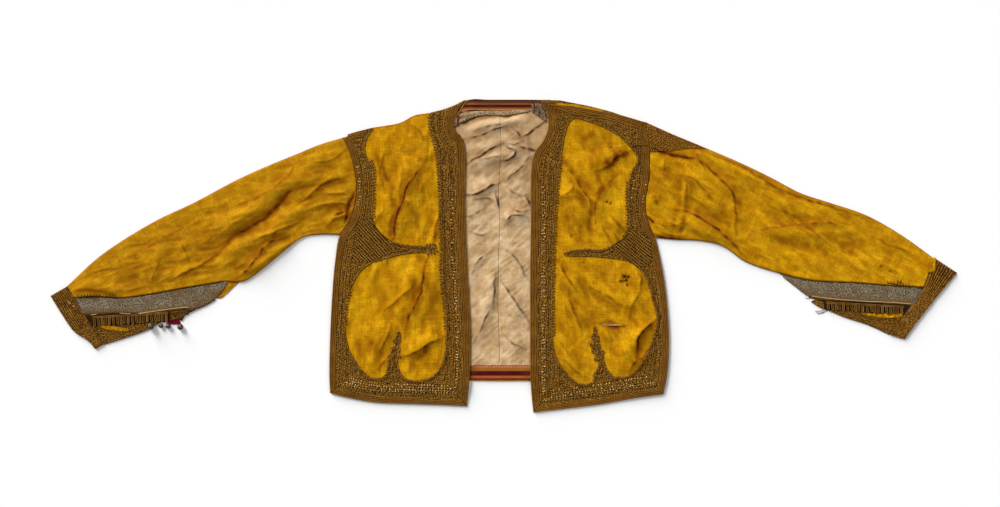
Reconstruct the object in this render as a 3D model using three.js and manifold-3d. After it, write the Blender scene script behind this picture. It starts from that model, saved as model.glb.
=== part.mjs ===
// An embroidered short jacket of saffron cotton, laid flat and open at the front.
//
// Units are millimetres and +Z is up. The origin is on the underside of the back, in the
// middle of the jacket: X runs from the wearer's right cuff to the left cuff, Y from the
// hem to the neck. "right" and "left" are the wearer's, and the jacket lies face up.
//
// Each piece of cloth is a thin wall over a patch between four drawn edges, with its large
// folds as soft ridges. What is sewn on a panel is made from the panel's own surface, moved
// out and cut to shape.

import * as THREE from "three";
import { mergeVertices } from "three/addons/utils/BufferGeometryUtils.js";
import Module from "manifold-3d";

const wasm = await Module();
wasm.setup();

// ---- Driving dimensions ----

const GAP = 0.3; // free space between a piece and what lies on it
const SEAM = 0.8; // free space along a curved seam
const BACK_WALL = 1.5;
const LINING_WALL = 1.2;
const FRONT_WALL = 1.6;
const BRAID_WALL = 1.6;
const SLEEVE = { wall: 1.4, height: 3.8 }; // two walls with a little air between them
const CUFF = { wall: 1.8, height: 4.8 };
const FACING_WALL = 2.0;
const SLIT_BRAID_WALL = 2.4;
const TUBE_EDGE = { outer: 1.2, inner: 2.4 }; // how far in a flattened tube's edge is rounded
const LINING_BED = BACK_WALL + GAP; // underside of what lies on the back
const FRONT_BED = LINING_BED + LINING_WALL + 2 * GAP; // underside of a front at its centre edge
const TAPE_WIDTH = 17.8;
const HEM_TAPE_WIDTH = 22;
const HEM_DROP = { from: -206, to: -234 }; // where the fronts' hems sink past the back's hem
const LOOP = { thread: 1.7, width: 2.4, rise: 1.9, strip: 2.2 };
const LOOPS_PER_SLEEVE = 28;
const MARGIN = 40; // how far a cutting prism reaches past the cloth, up and down

// ---- Edges, as points [x, y] that a smooth curve passes through ----

const RIGHT = {
  hem: [[-279, -219], [-247, -227], [-207, -234], [-167, -236], [-103, -238], [-60, -240]],
  shoulder: [[-258, 189], [-220, 203], [-167, 213], [-143, 225], [-119, 229], [-87, 238], [-62, 250]],
  side: [[-279, -219], [-280, -190], [-279, -134], [-276, -70], [-271, -10], [-263, 34],
    [-247, 53], [-238, 82], [-236, 114], [-241, 146], [-249, 171], [-258, 189]],
  centre: [[-60, -240], [-55, -182], [-55, -102], [-60, -14], [-63, 74], [-66, 186], [-78, 200],
    [-81, 213], [-76, 230], [-62, 250]],
};
const LEFT = {
  hem: [[46, -250], [89, -245], [153, -237], [217, -226], [254, -221]],
  shoulder: [[57, 248], [82, 248], [105, 241], [137, 235], [172, 229], [225, 214]],
  centre: [[46, -250], [42, -206], [41, -142], [41, -54], [42, 42], [47, 162], [62, 184], [70, 206],
    [68, 229], [57, 248]],
  side: [[254, -221], [260, -190], [263, -142], [260, -78], [252, -19], [241, 29], [231, 51],
    [225, 82], [230, 122], [232, 166], [225, 214]],
};
const BACK = {
  hem: [[-277, -196], [-130, -199], [0, -200], [120, -199], [259, -196]],
  leftSide: [[259, -196], [260, -142], [257, -78], [249, -19], [238, 29], [228, 51], [222, 82],
    [227, 122], [229, 166], [224, 212]],
  top: [[224, 212], [172, 230.5], [137, 239.5], [89, 249], [44, 250], [-60, 250]],
  rightShoulder: [[-60, 250], [-87, 236], [-119, 226], [-167, 211], [-220, 201], [-255, 188]],
  rightSide: [[-255, 188], [-246, 171], [-238, 146], [-233, 114], [-235, 82], [-244, 53], [-260, 34],
    [-268, -10], [-273, -70], [-276, -134], [-277, -196]],
};
const LINING = {
  top: 231.5,
  foot: -175.5,
  seam: [[-10, -175.5], [-9, -20], [-8, 120], [-5, 160], [-7, 231.5]],
  right: [[-80, -175.5], [-84, 100], [-98, 195], [-92, 231.5]],
  left: [[58, -175.5], [62, 120], [86, 190], [84, 231.5]],
};
const RIGHT_SLEEVE = {
  armhole: [[-264, 34], [-249, 53], [-239, 82], [-236, 114], [-241, 146], [-249, 171], [-258, 189]],
  top: [[-258, 189], [-295, 178], [-334, 162], [-383, 142], [-431, 120], [-495, 86], [-564, 53],
    [-647, 0], [-700, -48]],
  underarm: [[-264, 34], [-295, 34], [-321, 30], [-354, 6], [-388, -22], [-415, -40], [-430, -42],
    [-448, -41]],
  slit: [[-448, -41], [-480, -46], [-511, -51], [-572, -62], [-613, -67], [-654, -65], [-688, -67]],
};
const LEFT_SLEEVE = {
  armhole: [[241, 29], [231, 51], [225, 82], [230, 122], [232, 166], [225, 214]],
  top: [[225, 214], [268, 195], [321, 173], [377, 149], [425, 126], [473, 101], [521, 85], [577, 66],
    [633, 35], [688, -4]],
  underarm: [[241, 29], [273, 26], [313, 24], [348, 16], [385, -9], [441, -28]],
  slit: [[441, -28], [490, -39], [564, -43], [624, -48], [671, -50]],
};
const RIGHT_CUFF = {
  inner: [[-642, -142], [-658, -116], [-669, -100], [-678, -86], [-687.5, -69], [-700, -49]],
  outer: [[-654, -149], [-666, -135], [-688, -121], [-708, -93], [-726, -64]],
};
const LEFT_CUFF = {
  inner: [[617, -126], [628.5, -110], [641.5, -94], [658, -72], [672, -50], [680.5, -27], [689, -4]],
  outer: [[640, -133], [665, -99], [697, -59], [724, -27]],
};
const RIGHT_FACING_TIP = [-444, -42.5];
const LEFT_FACING_TIP = [444, -31];
const RIGHT_FACING_FOOT = [[-444.5, -45], [-449, -53], [-463, -69], [-480, -79], [-503, -86],
  [-531, -86], [-572, -92], [-613, -90], [-673, -93]];
const LEFT_FACING_FOOT = [[446, -34], [465, -49], [487, -65], [500, -68], [514, -69.5], [564, -72], [624, -76],
  [652, -78]];
const RIGHT_SLIT_BRAID_FOOT = [[-505, -89], [-517, -98.5], [-527, -101.5], [-541, -105.5], [-551, -106.5],
  [-560, -112], [-570, -118], [-588, -125], [-613, -133], [-642, -142]];
const LEFT_SLIT_BRAID_FOOT = [[490, -73], [504, -82], [520, -88], [544, -98], [584, -111],
  [617, -126]];

// The plain fields that the braid on each front surrounds, as smooth stretches that meet in
// points. A stretch ends where the next one starts.
const RIGHT_FIELD = {
  front: [[-119, 262], [-119, 210], [-108, 162], [-102, 60], [-100, -40], [-94, -100], [-100, -170]],
  lobe: [[-100, -170], [-118, -193], [-148, -197], [-167, -178], [-168, -150]],
  treeFront: [[-168, -150], [-165, -140], [-170, -126]],
  treeBack: [[-170, -126], [-180, -155], [-188, -184]],
  corner: [[-188, -184], [-212, -190], [-247, -150]],
  side: [[-247, -150], [-254, -100], [-246, -54], [-223, -19], [-190, -5]],
  underBelt: [[-190, -5], [-148, 4], [-112, 6]],
  beltTip: [[-112, 6], [-110, 11], [-112, 15]],
  overBelt: [[-112, 15], [-154, 18], [-182, 25], [-208, 53]],
  armhole: [[-208, 53], [-209, 100], [-210, 142], [-222, 165], [-219, 188], [-206, 210], [-206, 250]],
};
const LEFT_FIELD = {
  shoulder: [[108, 217], [135, 214], [162, 203], [185, 189], [212, 154]],
  armhole: [[212, 154], [202, 134], [196, 100], [198, 60], [195, 35], [178, 21], [154, 11]],
  overBelt: [[154, 11], [125, 12], [95, 5]],
  beltTip: [[95, 5], [94, 2], [98, 0]],
  underBelt: [[98, 0], [145, -2], [198, -10]],
  side: [[198, -10], [222, -30], [236, -72], [243, -98], [238, -126], [217, -173], [198, -191]],
  lobe: [[198, -191], [180, -192], [161, -168], [152, -140]],
  treeSide: [[152, -140], [151, -128], [144, -112]],
  treeFront: [[144, -112], [138, -131], [148, -173]],
  corner: [[148, -173], [139, -201], [118, -202], [84, -162]],
  front: [[84, -162], [77, -99], [78, -22], [83, 90], [91, 157], [108, 217]],
};
const SLEEVE_CAP = [[222, 222], [268, 200], [321, 177], [330, 170], [297, 171], [262, 166], [228, 165]];

// Where one length of braid ends and the next begins, as straight cuts [x1, y1, x2, y2].
const RIGHT_BRAID_CUTS = [[-110, -158, -38, -266], [-215, -164, -300, -238], [-200, 57, -275, 40]];
const LEFT_BRAID_CUTS = [[96, -150, 32, -272], [206, -166, 280, -238], [190, 63, 250, 44],
  [203, 154, 246, 176], [109, 205, 107, 262]];

// ---- Folds: each row is a soft ridge along a path, by its half width and height ----

const RIGHT_FRONT_FOLDS = [
  { width: 14, height: 5, path: [[-190, 45], [-180, 90], [-159, 130], [-129, 162]] },
  { width: 14, height: 4, path: [[-164, 38], [-148, 90], [-119, 134]] },
  { width: 15, height: 4, path: [[-110, 2], [-116, -54], [-135, -102]] },
  { width: 16, height: 4, path: [[-135, 0], [-154, -54], [-170, -106]] },
  { width: 14, height: 4, path: [[-167, -154], [-135, -138], [-106, -118]] },
  { width: 15, height: 3, path: [[-212, -142], [-191, -99]] },
];
const LEFT_FRONT_FOLDS = [
  { width: 13, height: 5, path: [[121, 34], [114, 82], [92, 122]] },
  { width: 14, height: 5, path: [[153, 38], [150, 82], [137, 122], [113, 170]] },
  { width: 13, height: 4, path: [[182, 170], [153, 154], [129, 146]] },
  { width: 14, height: 4, path: [[185, 90], [175, 38]] },
  { width: 15, height: 4, path: [[105, -14], [121, -70], [137, -118]] },
  { width: 14, height: 3, path: [[153, -46], [193, -70], [225, -70]] },
  { width: 14, height: 5, path: [[230, -110], [201, -142], [188, -174]] },
  { width: 13, height: 3, path: [[92, -150], [118, -186]] },
];
const LINING_FOLDS = [
  { width: 10, height: 4, path: [[-66, 198], [-31, 210], [12, 217], [44, 220]] },
  { width: 10, height: 3, path: [[-60, 168], [-31, 176], [-2, 188], [26, 182]] },
  { width: 10, height: 3, path: [[-54, 134], [-23, 153], [12, 165], [34, 157]] },
  { width: 10, height: 2.5, path: [[-54, 104], [-24, 122]] },
  { width: 10, height: 2.5, path: [[-6, 66], [34, 54]] },
  { width: 10, height: 2.5, path: [[-42, -118], [-23, -54], [-30, -10]] },
  { width: 10, height: 2.5, path: [[0, -54], [32, -104]] },
];
const RIGHT_SLEEVE_FOLDS = [
  { width: 17, height: 6, path: [[-271, 146], [-319, 130], [-359, 106], [-407, 70], [-455, 45], [-511, 10]] },
  { width: 14, height: 6, path: [[-287, 82], [-335, 70], [-378, 38], [-423, 13], [-479, -26]] },
  { width: 10, height: 5, path: [[-327, 20], [-362, 8], [-388, -12], [-420, -34]] },
  { width: 15, height: 3, path: [[-535, 34], [-567, -10], [-583, -46]] },
  { width: 9, height: 3, path: [[-685, -52], [-655, -48], [-607, -54]] },
];
const LEFT_SLEEVE_FOLDS = [
  { width: 13, height: 4, path: [[313, 157], [377, 125], [457, 83], [553, 51]] },
  { width: 17, height: 6, path: [[289, 154], [313, 114], [337, 82], [349, 50]] },
  { width: 13, height: 5, path: [[268, 58], [313, 45], [353, 21], [377, 2]] },
  { width: 13, height: 4, path: [[385, 18], [409, 32], [473, 37], [553, 38]] },
  { width: 13, height: 3, path: [[473, -3], [537, -10], [601, -22]] },
];

// ---- Small hard pieces ----

const BUTTONS = [
  { x: -565, y: -112, radius: 6.0, bed: SLIT_BRAID_WALL + GAP },
  { x: -549, y: -111.5, radius: 4.1, bed: 0 },
  { x: -537.5, y: -112, radius: 4.6, bed: 0 },
  { x: -518, y: -113.5, radius: 5.2, bed: 0 },
];
const RED_TAB = { outline: [[-538, -107.6], [-524, -102.4], [-518.5, -108]], wall: 1.4 };
const RIGHT_LOOPS = { from: [-659, -97.5], to: [-538, -90], length: { from: 15, to: 14 } };
const LEFT_LOOPS = { from: [514, -73.5], to: [638, -80.5], length: { from: 12, to: 13 } };

// ---- Finishes ----

const finish = (color, roughness, metalness = 0) =>
  new THREE.MeshStandardMaterial({ color, roughness, metalness });
const SAFFRON_COTTON = finish(0xc38d12, 0.9);
const BROWN_BRAID = finish(0x6a4c1b, 0.85);
const CREAM_LINING = finish(0xcbb18e, 0.92);
const STRIPED_TAPE = finish(0x6f1230, 0.8);
const SILVER_FACING = finish(0x77736a, 0.5, 0.3);
const BUTTON_METAL = finish(0x4a423c, 0.35, 0.8);
const RED_CLOTH = finish(0x820d2c, 0.85);

// ---- Curves and patches ----

const sum = (a, b) => a.map((value, axis) => value + b[axis]);
const shifted = (points, dx, dy) => points.map((point) => sum(point, [dx, dy]));
const reversed = (points) => [...points].reverse();

/** A smooth curve through points [x, y], read by its share of the length. */
function smoothEdge(points) {
  const spots = points.map(([x, y]) => new THREE.Vector3(x, y, 0));
  const curve = new THREE.CatmullRomCurve3(spots, false, "centripetal");
  return (share) => {
    const spot = curve.getPointAt(Math.min(Math.max(share, 0), 1));
    return [spot.x, spot.y];
  };
}

/** The patch between four edges: near and far run along u, first and last along v. */
function patchBetween({ near, far, first, last }) {
  const [a, b, c, d] = [near, far, first, last].map(smoothEdge);
  return (u, v) => [0, 1].map((axis) => {
    const across = (1 - v) * a(u)[axis] + v * b(u)[axis];
    const along = (1 - u) * c(v)[axis] + u * d(v)[axis];
    const low = (1 - u) * a(0)[axis] + u * a(1)[axis];
    const high = (1 - u) * b(0)[axis] + u * b(1)[axis];
    return across + along - (1 - v) * low - v * high;
  });
}

/** A smooth outline from stretches that meet in points, with a point about every step. */
function outlineOf(stretches, step = 15) {
  return Object.values(stretches).flatMap((points) => {
    const edge = smoothEdge(points);
    const reach = points.slice(1).reduce((total, point, i) => total + Math.hypot(
      point[0] - points[i][0], point[1] - points[i][1]), 0);
    const count = Math.max(2, Math.round(reach / step));
    return Array.from({ length: count }, (_, i) => edge(i / count));
  });
}

const ease = (share) => {
  const t = Math.min(Math.max(share, 0), 1);
  return t * t * (3 - 2 * t);
};

/** Distance from a point to a path of straight runs. */
function distanceTo(path, [x, y]) {
  const runs = path.slice(1).map((end, i) => {
    const start = path[i];
    const [rx, ry] = [end[0] - start[0], end[1] - start[1]];
    const share = ((x - start[0]) * rx + (y - start[1]) * ry) / (rx * rx + ry * ry);
    const t = Math.min(Math.max(share, 0), 1);
    return Math.hypot(x - start[0] - t * rx, y - start[1] - t * ry);
  });
  return Math.min(...runs);
}

/** Height of all the folds of a table at a point. */
const foldHeight = (folds, point) => folds.reduce(
  (height, fold) => height + fold.height * Math.exp(-((distanceTo(fold.path, point) / fold.width) ** 2)),
  0,
);

// ---- Solids ----

/** A closed body from corners and triangles, turned so that its faces point out. */
function closedBody(corners, triangles) {
  const volume = triangles.reduce((total, [a, b, c]) => total + new THREE.Vector3(...corners[a]).dot(
    new THREE.Vector3(...corners[b]).cross(new THREE.Vector3(...corners[c]))), 0);
  const faces = volume < 0 ? triangles.map(([a, b, c]) => [a, c, b]) : triangles;
  const geometry = new THREE.BufferGeometry();
  geometry.setAttribute("position", new THREE.Float32BufferAttribute(corners.flat(), 3));
  geometry.setIndex(faces.flat());
  return geometry;
}

const quad = (a, b, c, d) => [[a, b, c], [a, c, d]];

/** A wall over a grid of top corners, by the underside that each corner has. */
function wallUnder(top, under) {
  const [rows, columns] = [top.length, top[0].length];
  const corners = [...top.flat(), ...under.flat()];
  const at = (side, row, column) => side * rows * columns + row * columns + column;
  const triangles = [];
  for (let row = 0; row < rows - 1; row += 1) {
    for (let column = 0; column < columns - 1; column += 1) {
      triangles.push(...quad(at(0, row, column), at(0, row, column + 1),
        at(0, row + 1, column + 1), at(0, row + 1, column)));
      triangles.push(...quad(at(1, row, column), at(1, row + 1, column),
        at(1, row + 1, column + 1), at(1, row, column + 1)));
    }
  }
  for (let row = 0; row < rows - 1; row += 1) {
    triangles.push(...quad(at(0, row, 0), at(0, row + 1, 0), at(1, row + 1, 0), at(1, row, 0)));
    triangles.push(...quad(at(0, row + 1, columns - 1), at(0, row, columns - 1),
      at(1, row, columns - 1), at(1, row + 1, columns - 1)));
  }
  for (let column = 0; column < columns - 1; column += 1) {
    triangles.push(...quad(at(0, 0, column + 1), at(0, 0, column), at(1, 0, column), at(1, 0, column + 1)));
    triangles.push(...quad(at(0, rows - 1, column), at(0, rows - 1, column + 1),
      at(1, rows - 1, column + 1), at(1, rows - 1, column)));
  }
  return closedBody(corners, triangles);
}

/** Corners over a patch: height(u, v, [x, y]) is the underside, and the wall lies on it. */
function sheetCorners(patch, { across, along }, height) {
  return Array.from({ length: along + 1 }, (_, row) => Array.from({ length: across + 1 }, (__, column) => {
    const [u, v] = [column / across, row / along];
    const spot = patch(u, v);
    return [...spot, height(u, v, spot)];
  }));
}

const raised = (corners, rise) => corners.map((row) => row.map(([x, y, z]) => [x, y, z + rise]));
const sheet = (corners, wall) => wallUnder(raised(corners, wall), corners);
/** A layer that lies on a sheet, made from the sheet's own surface. */
const skin = (surface, wall) => wallUnder(raised(surface, GAP + wall), raised(surface, GAP));

/**
 * A flattened tube over a patch whose u runs across it: open at both ends, flat underneath,
 * with folds on its upper wall.
 */
function flatTube(patch, { rings, over, under }, { wall, height }, folds = []) {
  const corners = [];
  const crown = [];
  for (let ring = 0; ring <= rings; ring += 1) {
    const v = ring / rings;
    const [start, end] = [patch(0, v), patch(1, v)];
    const width = Math.hypot(end[0] - start[0], end[1] - start[1]);
    const spread = (inset, count) => Array.from({ length: count + 1 }, (_, i) =>
      inset / width + (1 - 2 * inset / width) * (i / count));
    const lift = (spot) => height + foldHeight(folds, spot);
    const loop = (edge, side, floor, roof) => [
      [...patch(side / width, v), height / 2],
      ...spread(edge, over).map((u) => [...patch(u, v), lift(patch(u, v)) - roof]),
      [...patch(1 - side / width, v), height / 2],
      ...spread(edge, under).reverse().map((u) => [...patch(u, v), floor]),
    ];
    const outer = loop(TUBE_EDGE.outer, 0, 0, 0);
    corners.push(...outer, ...loop(TUBE_EDGE.inner, wall, wall, wall));
    crown.push(outer.slice(1, over + 2));
  }
  const size = over + under + 4;
  const at = (ring, side, i) => (ring * 2 + side) * size + (i % size);
  const triangles = [];
  for (let i = 0; i < size; i += 1) {
    for (let ring = 0; ring < rings; ring += 1) {
      triangles.push(...quad(at(ring, 0, i), at(ring, 0, i + 1), at(ring + 1, 0, i + 1), at(ring + 1, 0, i)));
      triangles.push(...quad(at(ring, 1, i), at(ring + 1, 1, i), at(ring + 1, 1, i + 1), at(ring, 1, i + 1)));
    }
    triangles.push(...quad(at(0, 0, i + 1), at(0, 0, i), at(0, 1, i), at(0, 1, i + 1)));
    triangles.push(...quad(at(rings, 0, i), at(rings, 0, i + 1), at(rings, 1, i + 1), at(rings, 1, i)));
  }
  return { geometry: closedBody(corners, triangles), crown };
}

/** A flat-sided body over an outline of points [x, y]. */
function prism(outline, floor, roof) {
  const shape = new THREE.Shape(outline.map(([x, y]) => new THREE.Vector2(x, y)));
  const geometry = new THREE.ExtrudeGeometry(shape, { depth: roof - floor, bevelEnabled: false });
  return geometry.translate(0, 0, floor);
}

// ---- Cutting and joining ----

/** The geometry as a solid that can be cut and joined. */
function solidOf(geometry) {
  const bare = geometry.clone();
  bare.deleteAttribute("normal");
  bare.deleteAttribute("uv");
  const merged = mergeVertices(bare);
  return new wasm.Manifold(new wasm.Mesh({
    numProp: 3,
    vertProperties: new Float32Array(merged.attributes.position.array),
    triVerts: new Uint32Array(merged.index.array),
  }));
}

/** A cut or joined solid, back as a geometry. */
function geometryOf(solid) {
  const { vertProperties, triVerts } = solid.getMesh();
  const geometry = new THREE.BufferGeometry();
  geometry.setAttribute("position", new THREE.BufferAttribute(vertProperties, 3));
  geometry.setIndex(new THREE.BufferAttribute(triVerts, 1));
  return geometry;
}

/** The two lengths of braid on either side of a straight cut are parted by this thin body. */
function knife([x1, y1, x2, y2]) {
  const half = GAP / 2 / Math.hypot(x2 - x1, y2 - y1);
  const [nx, ny] = [(y1 - y2) * half, (x2 - x1) * half];
  return prism([[x1 - nx, y1 - ny], [x2 - nx, y2 - ny], [x2 + nx, y2 + ny], [x1 + nx, y1 + ny]],
    -MARGIN, MARGIN);
}

/** The lengths of braid left of a skin once its field and its cuts are taken out. */
function braidLengths(surface, field, cuts) {
  let solid = solidOf(skin(surface, BRAID_WALL));
  solid = solid.subtract(solidOf(prism(outlineOf(field), -MARGIN, MARGIN)));
  for (const cut of cuts) solid = solid.subtract(solidOf(knife(cut)));
  return solid.decompose();
}

/** The length of braid whose middle is nearest a point. */
function lengthNear(lengths, [x, y]) {
  const away = (solid) => {
    const { min, max } = solid.boundingBox();
    return Math.hypot((min[0] + max[0]) / 2 - x, (min[1] + max[1]) / 2 - y);
  };
  return [...lengths].sort((a, b) => away(a) - away(b))[0];
}

// ---- Pieces ----

const jacket = new THREE.Group();

function addPiece(name, geometry, material) {
  const mesh = new THREE.Mesh(geometry, material);
  mesh.name = name;
  jacket.add(mesh);
}

function addBack() {
  const outline = outlineOf(BACK, 24);
  addPiece("back", prism(outline, 0, BACK_WALL), SAFFRON_COTTON);
}

/** The lining's wrinkles die out where the fronts lie on it. */
function liningHeight(spot) {
  const free = ease((spot[0] + 60) / 12) * ease((39 - spot[0]) / 12);
  return LINING_BED + free * foldHeight(LINING_FOLDS, spot);
}

function addLining() {
  const across = 5;
  const along = 20;
  const half = (first, last) => patchBetween({
    near: [first[0], last[0]], far: [first.at(-1), last.at(-1)], first, last,
  });
  const right = half(LINING.right, shifted(LINING.seam, -GAP, 0));
  const left = half(LINING.seam, LINING.left);
  for (const [name, patch] of Object.entries({ right_lining: right, left_lining: left })) {
    const corners = sheetCorners(patch, { across, along }, (u, v, spot) => liningHeight(spot));
    addPiece(name, sheet(corners, LINING_WALL), CREAM_LINING);
  }
}

/** Striped tapes: one under the back of the neck, one on the back's hem. */
function addTapes() {
  const neckTop = LINING.top + GAP + TAPE_WIDTH;
  const neck = patchBetween({
    near: [[-73.5, 208], [-70, 224], [-62, 231.6], [-20, LINING.top + GAP], [74, LINING.top + GAP]],
    far: [[-77, 210], [-73.5, 228], [-67, 241], [-56, neckTop], [-20, neckTop], [74, neckTop]],
    first: [[-73.5, 208], [-77, 210]],
    last: [[74, LINING.top + GAP], [74, neckTop]],
  });
  const neckCorners = sheetCorners(neck, { across: 14, along: 1 },
    (u, v, [, y]) => LINING_BED + (LINING_WALL + 2 * GAP) * ease((242 - y) / 5) * ease((0.24 - u) / 0.06));
  addPiece("neck_tape", sheet(neckCorners, LINING_WALL), STRIPED_TAPE);
  const hemTop = LINING.foot - GAP;
  const outline = [[-78, hemTop], [-78, hemTop - HEM_TAPE_WIDTH], [58, hemTop - HEM_TAPE_WIDTH], [58, hemTop]];
  addPiece("hem_tape", prism(outline, LINING_BED, LINING_BED + LINING_WALL), STRIPED_TAPE);
}

/**
 * A front's underside: on the lining at its centre edge, down on the back along its side and
 * shoulder, and on the ground past the back's hem.
 */
function frontHeight(outward, v, spot, folds) {
  const nearSide = ease((1 - outward) / 0.22);
  const nearShoulder = Math.max(ease((1 - v) / 0.08), ease((0.45 - outward) / 0.2));
  const onBack = LINING_BED + (FRONT_BED - LINING_BED) * Math.min(nearSide, nearShoulder);
  const drop = ease((HEM_DROP.from - spot[1]) / (HEM_DROP.from - HEM_DROP.to));
  return onBack * (1 - drop) + foldHeight(folds, spot);
}

/** One front, and the lengths of couched braid that lie on it. */
function addFront(side, { edges, folds, field, cuts, lengths }) {
  const grid = { across: 11, along: 22 };
  const patch = patchBetween({ near: edges.hem, far: edges.shoulder, ...edges.sides });
  const outward = (u) => (side === "right" ? 1 - u : u);
  const corners = sheetCorners(patch, grid, (u, v, spot) => frontHeight(outward(u), v, spot, folds));
  addPiece(`${side}_front`, sheet(corners, FRONT_WALL), SAFFRON_COTTON);
  const braid = braidLengths(raised(corners, FRONT_WALL), field, cuts);
  for (const [name, middle] of Object.entries(lengths)) {
    addPiece(`${side}_${name}_braid`, geometryOf(lengthNear(braid, middle)), BROWN_BRAID);
  }
}

/** A sleeve as a flattened tube, from its armhole to the cuff. */
function addSleeve(side, { edges, away, folds }) {
  const bottom = [...edges.underarm, ...edges.slit.slice(1)];
  const end = [edges.slit.at(-1), edges.top.at(-1)];
  const patch = patchBetween({
    near: edges.armhole, far: end, first: bottom, last: edges.top,
  });
  const clear = (u, v) => sum(patch(u, v), [away * SEAM * (1 - 2 * v), 0]);
  const { geometry, crown } = flatTube(clear, { rings: 22, over: 9, under: 3 }, SLEEVE, folds);
  addPiece(`${side}_sleeve`, geometry, SAFFRON_COTTON);
  return crown;
}

/** Braid on the cap of the left sleeve, carrying the shoulder's band on. */
function addSleeveCapBraid(crown) {
  const cap = solidOf(skin(crown.slice(0, 6), BRAID_WALL));
  const outline = solidOf(prism(SLEEVE_CAP, -MARGIN, MARGIN));
  addPiece("left_sleeve_cap_braid", geometryOf(cap.intersect(outline)), BROWN_BRAID);
}

/** The cuff, and the strips that show where the sleeve is slit above it. */
function addCuff(side, { cuff, slit, tip, facingFoot, braidFoot, away }) {
  const patch = patchBetween({
    near: cuff.inner, far: cuff.outer,
    first: [cuff.inner[0], cuff.outer[0]], last: [cuff.inner.at(-1), cuff.outer.at(-1)],
  });
  addPiece(`${side}_cuff`, flatTube(patch, { rings: 2, over: 9, under: 6 }, CUFF).geometry, BROWN_BRAID);

  const strip = (upper, lower, across, wall, name, material) => {
    const band = patchBetween({
      near: lower, far: upper, first: [lower[0], upper[0]], last: [lower.at(-1), upper.at(-1)],
    });
    const clear = (u, v) => sum(band(u, v), [-away * 2 * SEAM * u * u, 0]);
    const corners = sheetCorners(clear, { across, along: 2 }, () => 0);
    addPiece(`${side}_${name}`, sheet(corners, wall), material);
  };
  const facingTop = [tip, ...shifted(slit.slice(1), 0, -SEAM)];
  strip(facingTop, facingFoot, 13, FACING_WALL, "slit_facing", SILVER_FACING);
  const braidTop = shifted(facingFoot.slice(3), 0, -1.5 * SEAM);
  strip(braidTop, braidFoot, 13, SLIT_BRAID_WALL, "slit_braid", BROWN_BRAID);
}

/** A thread with a three-cornered section along a flat path, standing on a bed. */
function thread(path, bed) {
  const half = LOOP.thread / 2;
  const corners = path.flatMap((spot, i) => {
    const before = path[Math.max(i - 1, 0)];
    const after = path[Math.min(i + 1, path.length - 1)];
    const reach = Math.hypot(after[0] - before[0], after[1] - before[1]);
    const [nx, ny] = [(before[1] - after[1]) / reach, (after[0] - before[0]) / reach];
    return [
      [spot[0] + nx * half, spot[1] + ny * half, bed],
      [spot[0], spot[1], bed + LOOP.rise],
      [spot[0] - nx * half, spot[1] - ny * half, bed],
    ];
  });
  const last = 3 * (path.length - 1);
  const triangles = [[0, 1, 2], [last, last + 2, last + 1]];
  for (let i = 0; i < last; i += 3) {
    for (const [a, b] of [[0, 1], [1, 2], [2, 0]]) {
      triangles.push(...quad(i + b, i + a, i + 3 + a, i + 3 + b));
    }
  }
  return closedBody(corners, triangles);
}

/** A row of button loops, fused into the strip that they hang from. */
function addLoops(side, { from, to, length }) {
  const bed = SLIT_BRAID_WALL + GAP;
  const roof = bed + LOOP.rise;
  const along = [to[0] - from[0], to[1] - from[1]];
  const outline = [from, to, sum(to, [0, -LOOP.strip]), sum(from, [0, -LOOP.strip])];
  let row = solidOf(prism(reversed(outline), bed, roof));
  for (let i = 0; i < LOOPS_PER_SLEEVE; i += 1) {
    const share = (i + 0.5) / LOOPS_PER_SLEEVE;
    const root = sum(from, along.map((reach) => reach * share));
    const drop = length.from + (length.to - length.from) * share;
    const half = LOOP.width / 2;
    const start = LOOP.strip / 2;
    const path = [[-half, -start], [-half, -drop], [half, -drop], [half, -start]];
    row = row.add(solidOf(thread(path.map((step) => sum(root, step)), bed)));
  }
  addPiece(`${side}_loop_row`, geometryOf(row), BROWN_BRAID);
}

function addButtons() {
  const segments = { around: 9, up: 6 };
  BUTTONS.forEach(({ x, y, radius, bed }, index) => {
    const ball = new THREE.SphereGeometry(radius, segments.around, segments.up);
    ball.deleteAttribute("normal");
    ball.deleteAttribute("uv");
    const upright = ball.rotateX(Math.PI / 2).translate(x, y, bed + radius);
    addPiece(`button_${index + 1}`, geometryOf(solidOf(upright)), BUTTON_METAL);
  });
  addPiece("red_tab", prism(RED_TAB.outline, 0, RED_TAB.wall), RED_CLOTH);
}

addBack();
addLining();
addTapes();
addFront("right", {
  edges: { hem: RIGHT.hem, shoulder: RIGHT.shoulder, sides: { first: RIGHT.side, last: RIGHT.centre } },
  folds: RIGHT_FRONT_FOLDS,
  field: RIGHT_FIELD,
  cuts: RIGHT_BRAID_CUTS,
  lengths: { front_edge: [-80, 20], hem: [-165, -205], side: [-220, -50], armhole: [-225, 130] },
});
addFront("left", {
  edges: { hem: LEFT.hem, shoulder: LEFT.shoulder, sides: { first: LEFT.centre, last: LEFT.side } },
  folds: LEFT_FRONT_FOLDS,
  field: LEFT_FIELD,
  cuts: LEFT_BRAID_CUTS,
  lengths: {
    front_edge: [65, 20], hem: [150, -210], side: [210, -60], armhole: [212, 120], shoulder: [165, 215],
  },
});
addSleeve("right", { edges: RIGHT_SLEEVE, away: -1, folds: RIGHT_SLEEVE_FOLDS });
addSleeveCapBraid(addSleeve("left", { edges: LEFT_SLEEVE, away: 1, folds: LEFT_SLEEVE_FOLDS }));
addCuff("right", {
  cuff: RIGHT_CUFF, slit: RIGHT_SLEEVE.slit, tip: RIGHT_FACING_TIP, facingFoot: RIGHT_FACING_FOOT,
  braidFoot: RIGHT_SLIT_BRAID_FOOT, away: -1,
});
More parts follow.
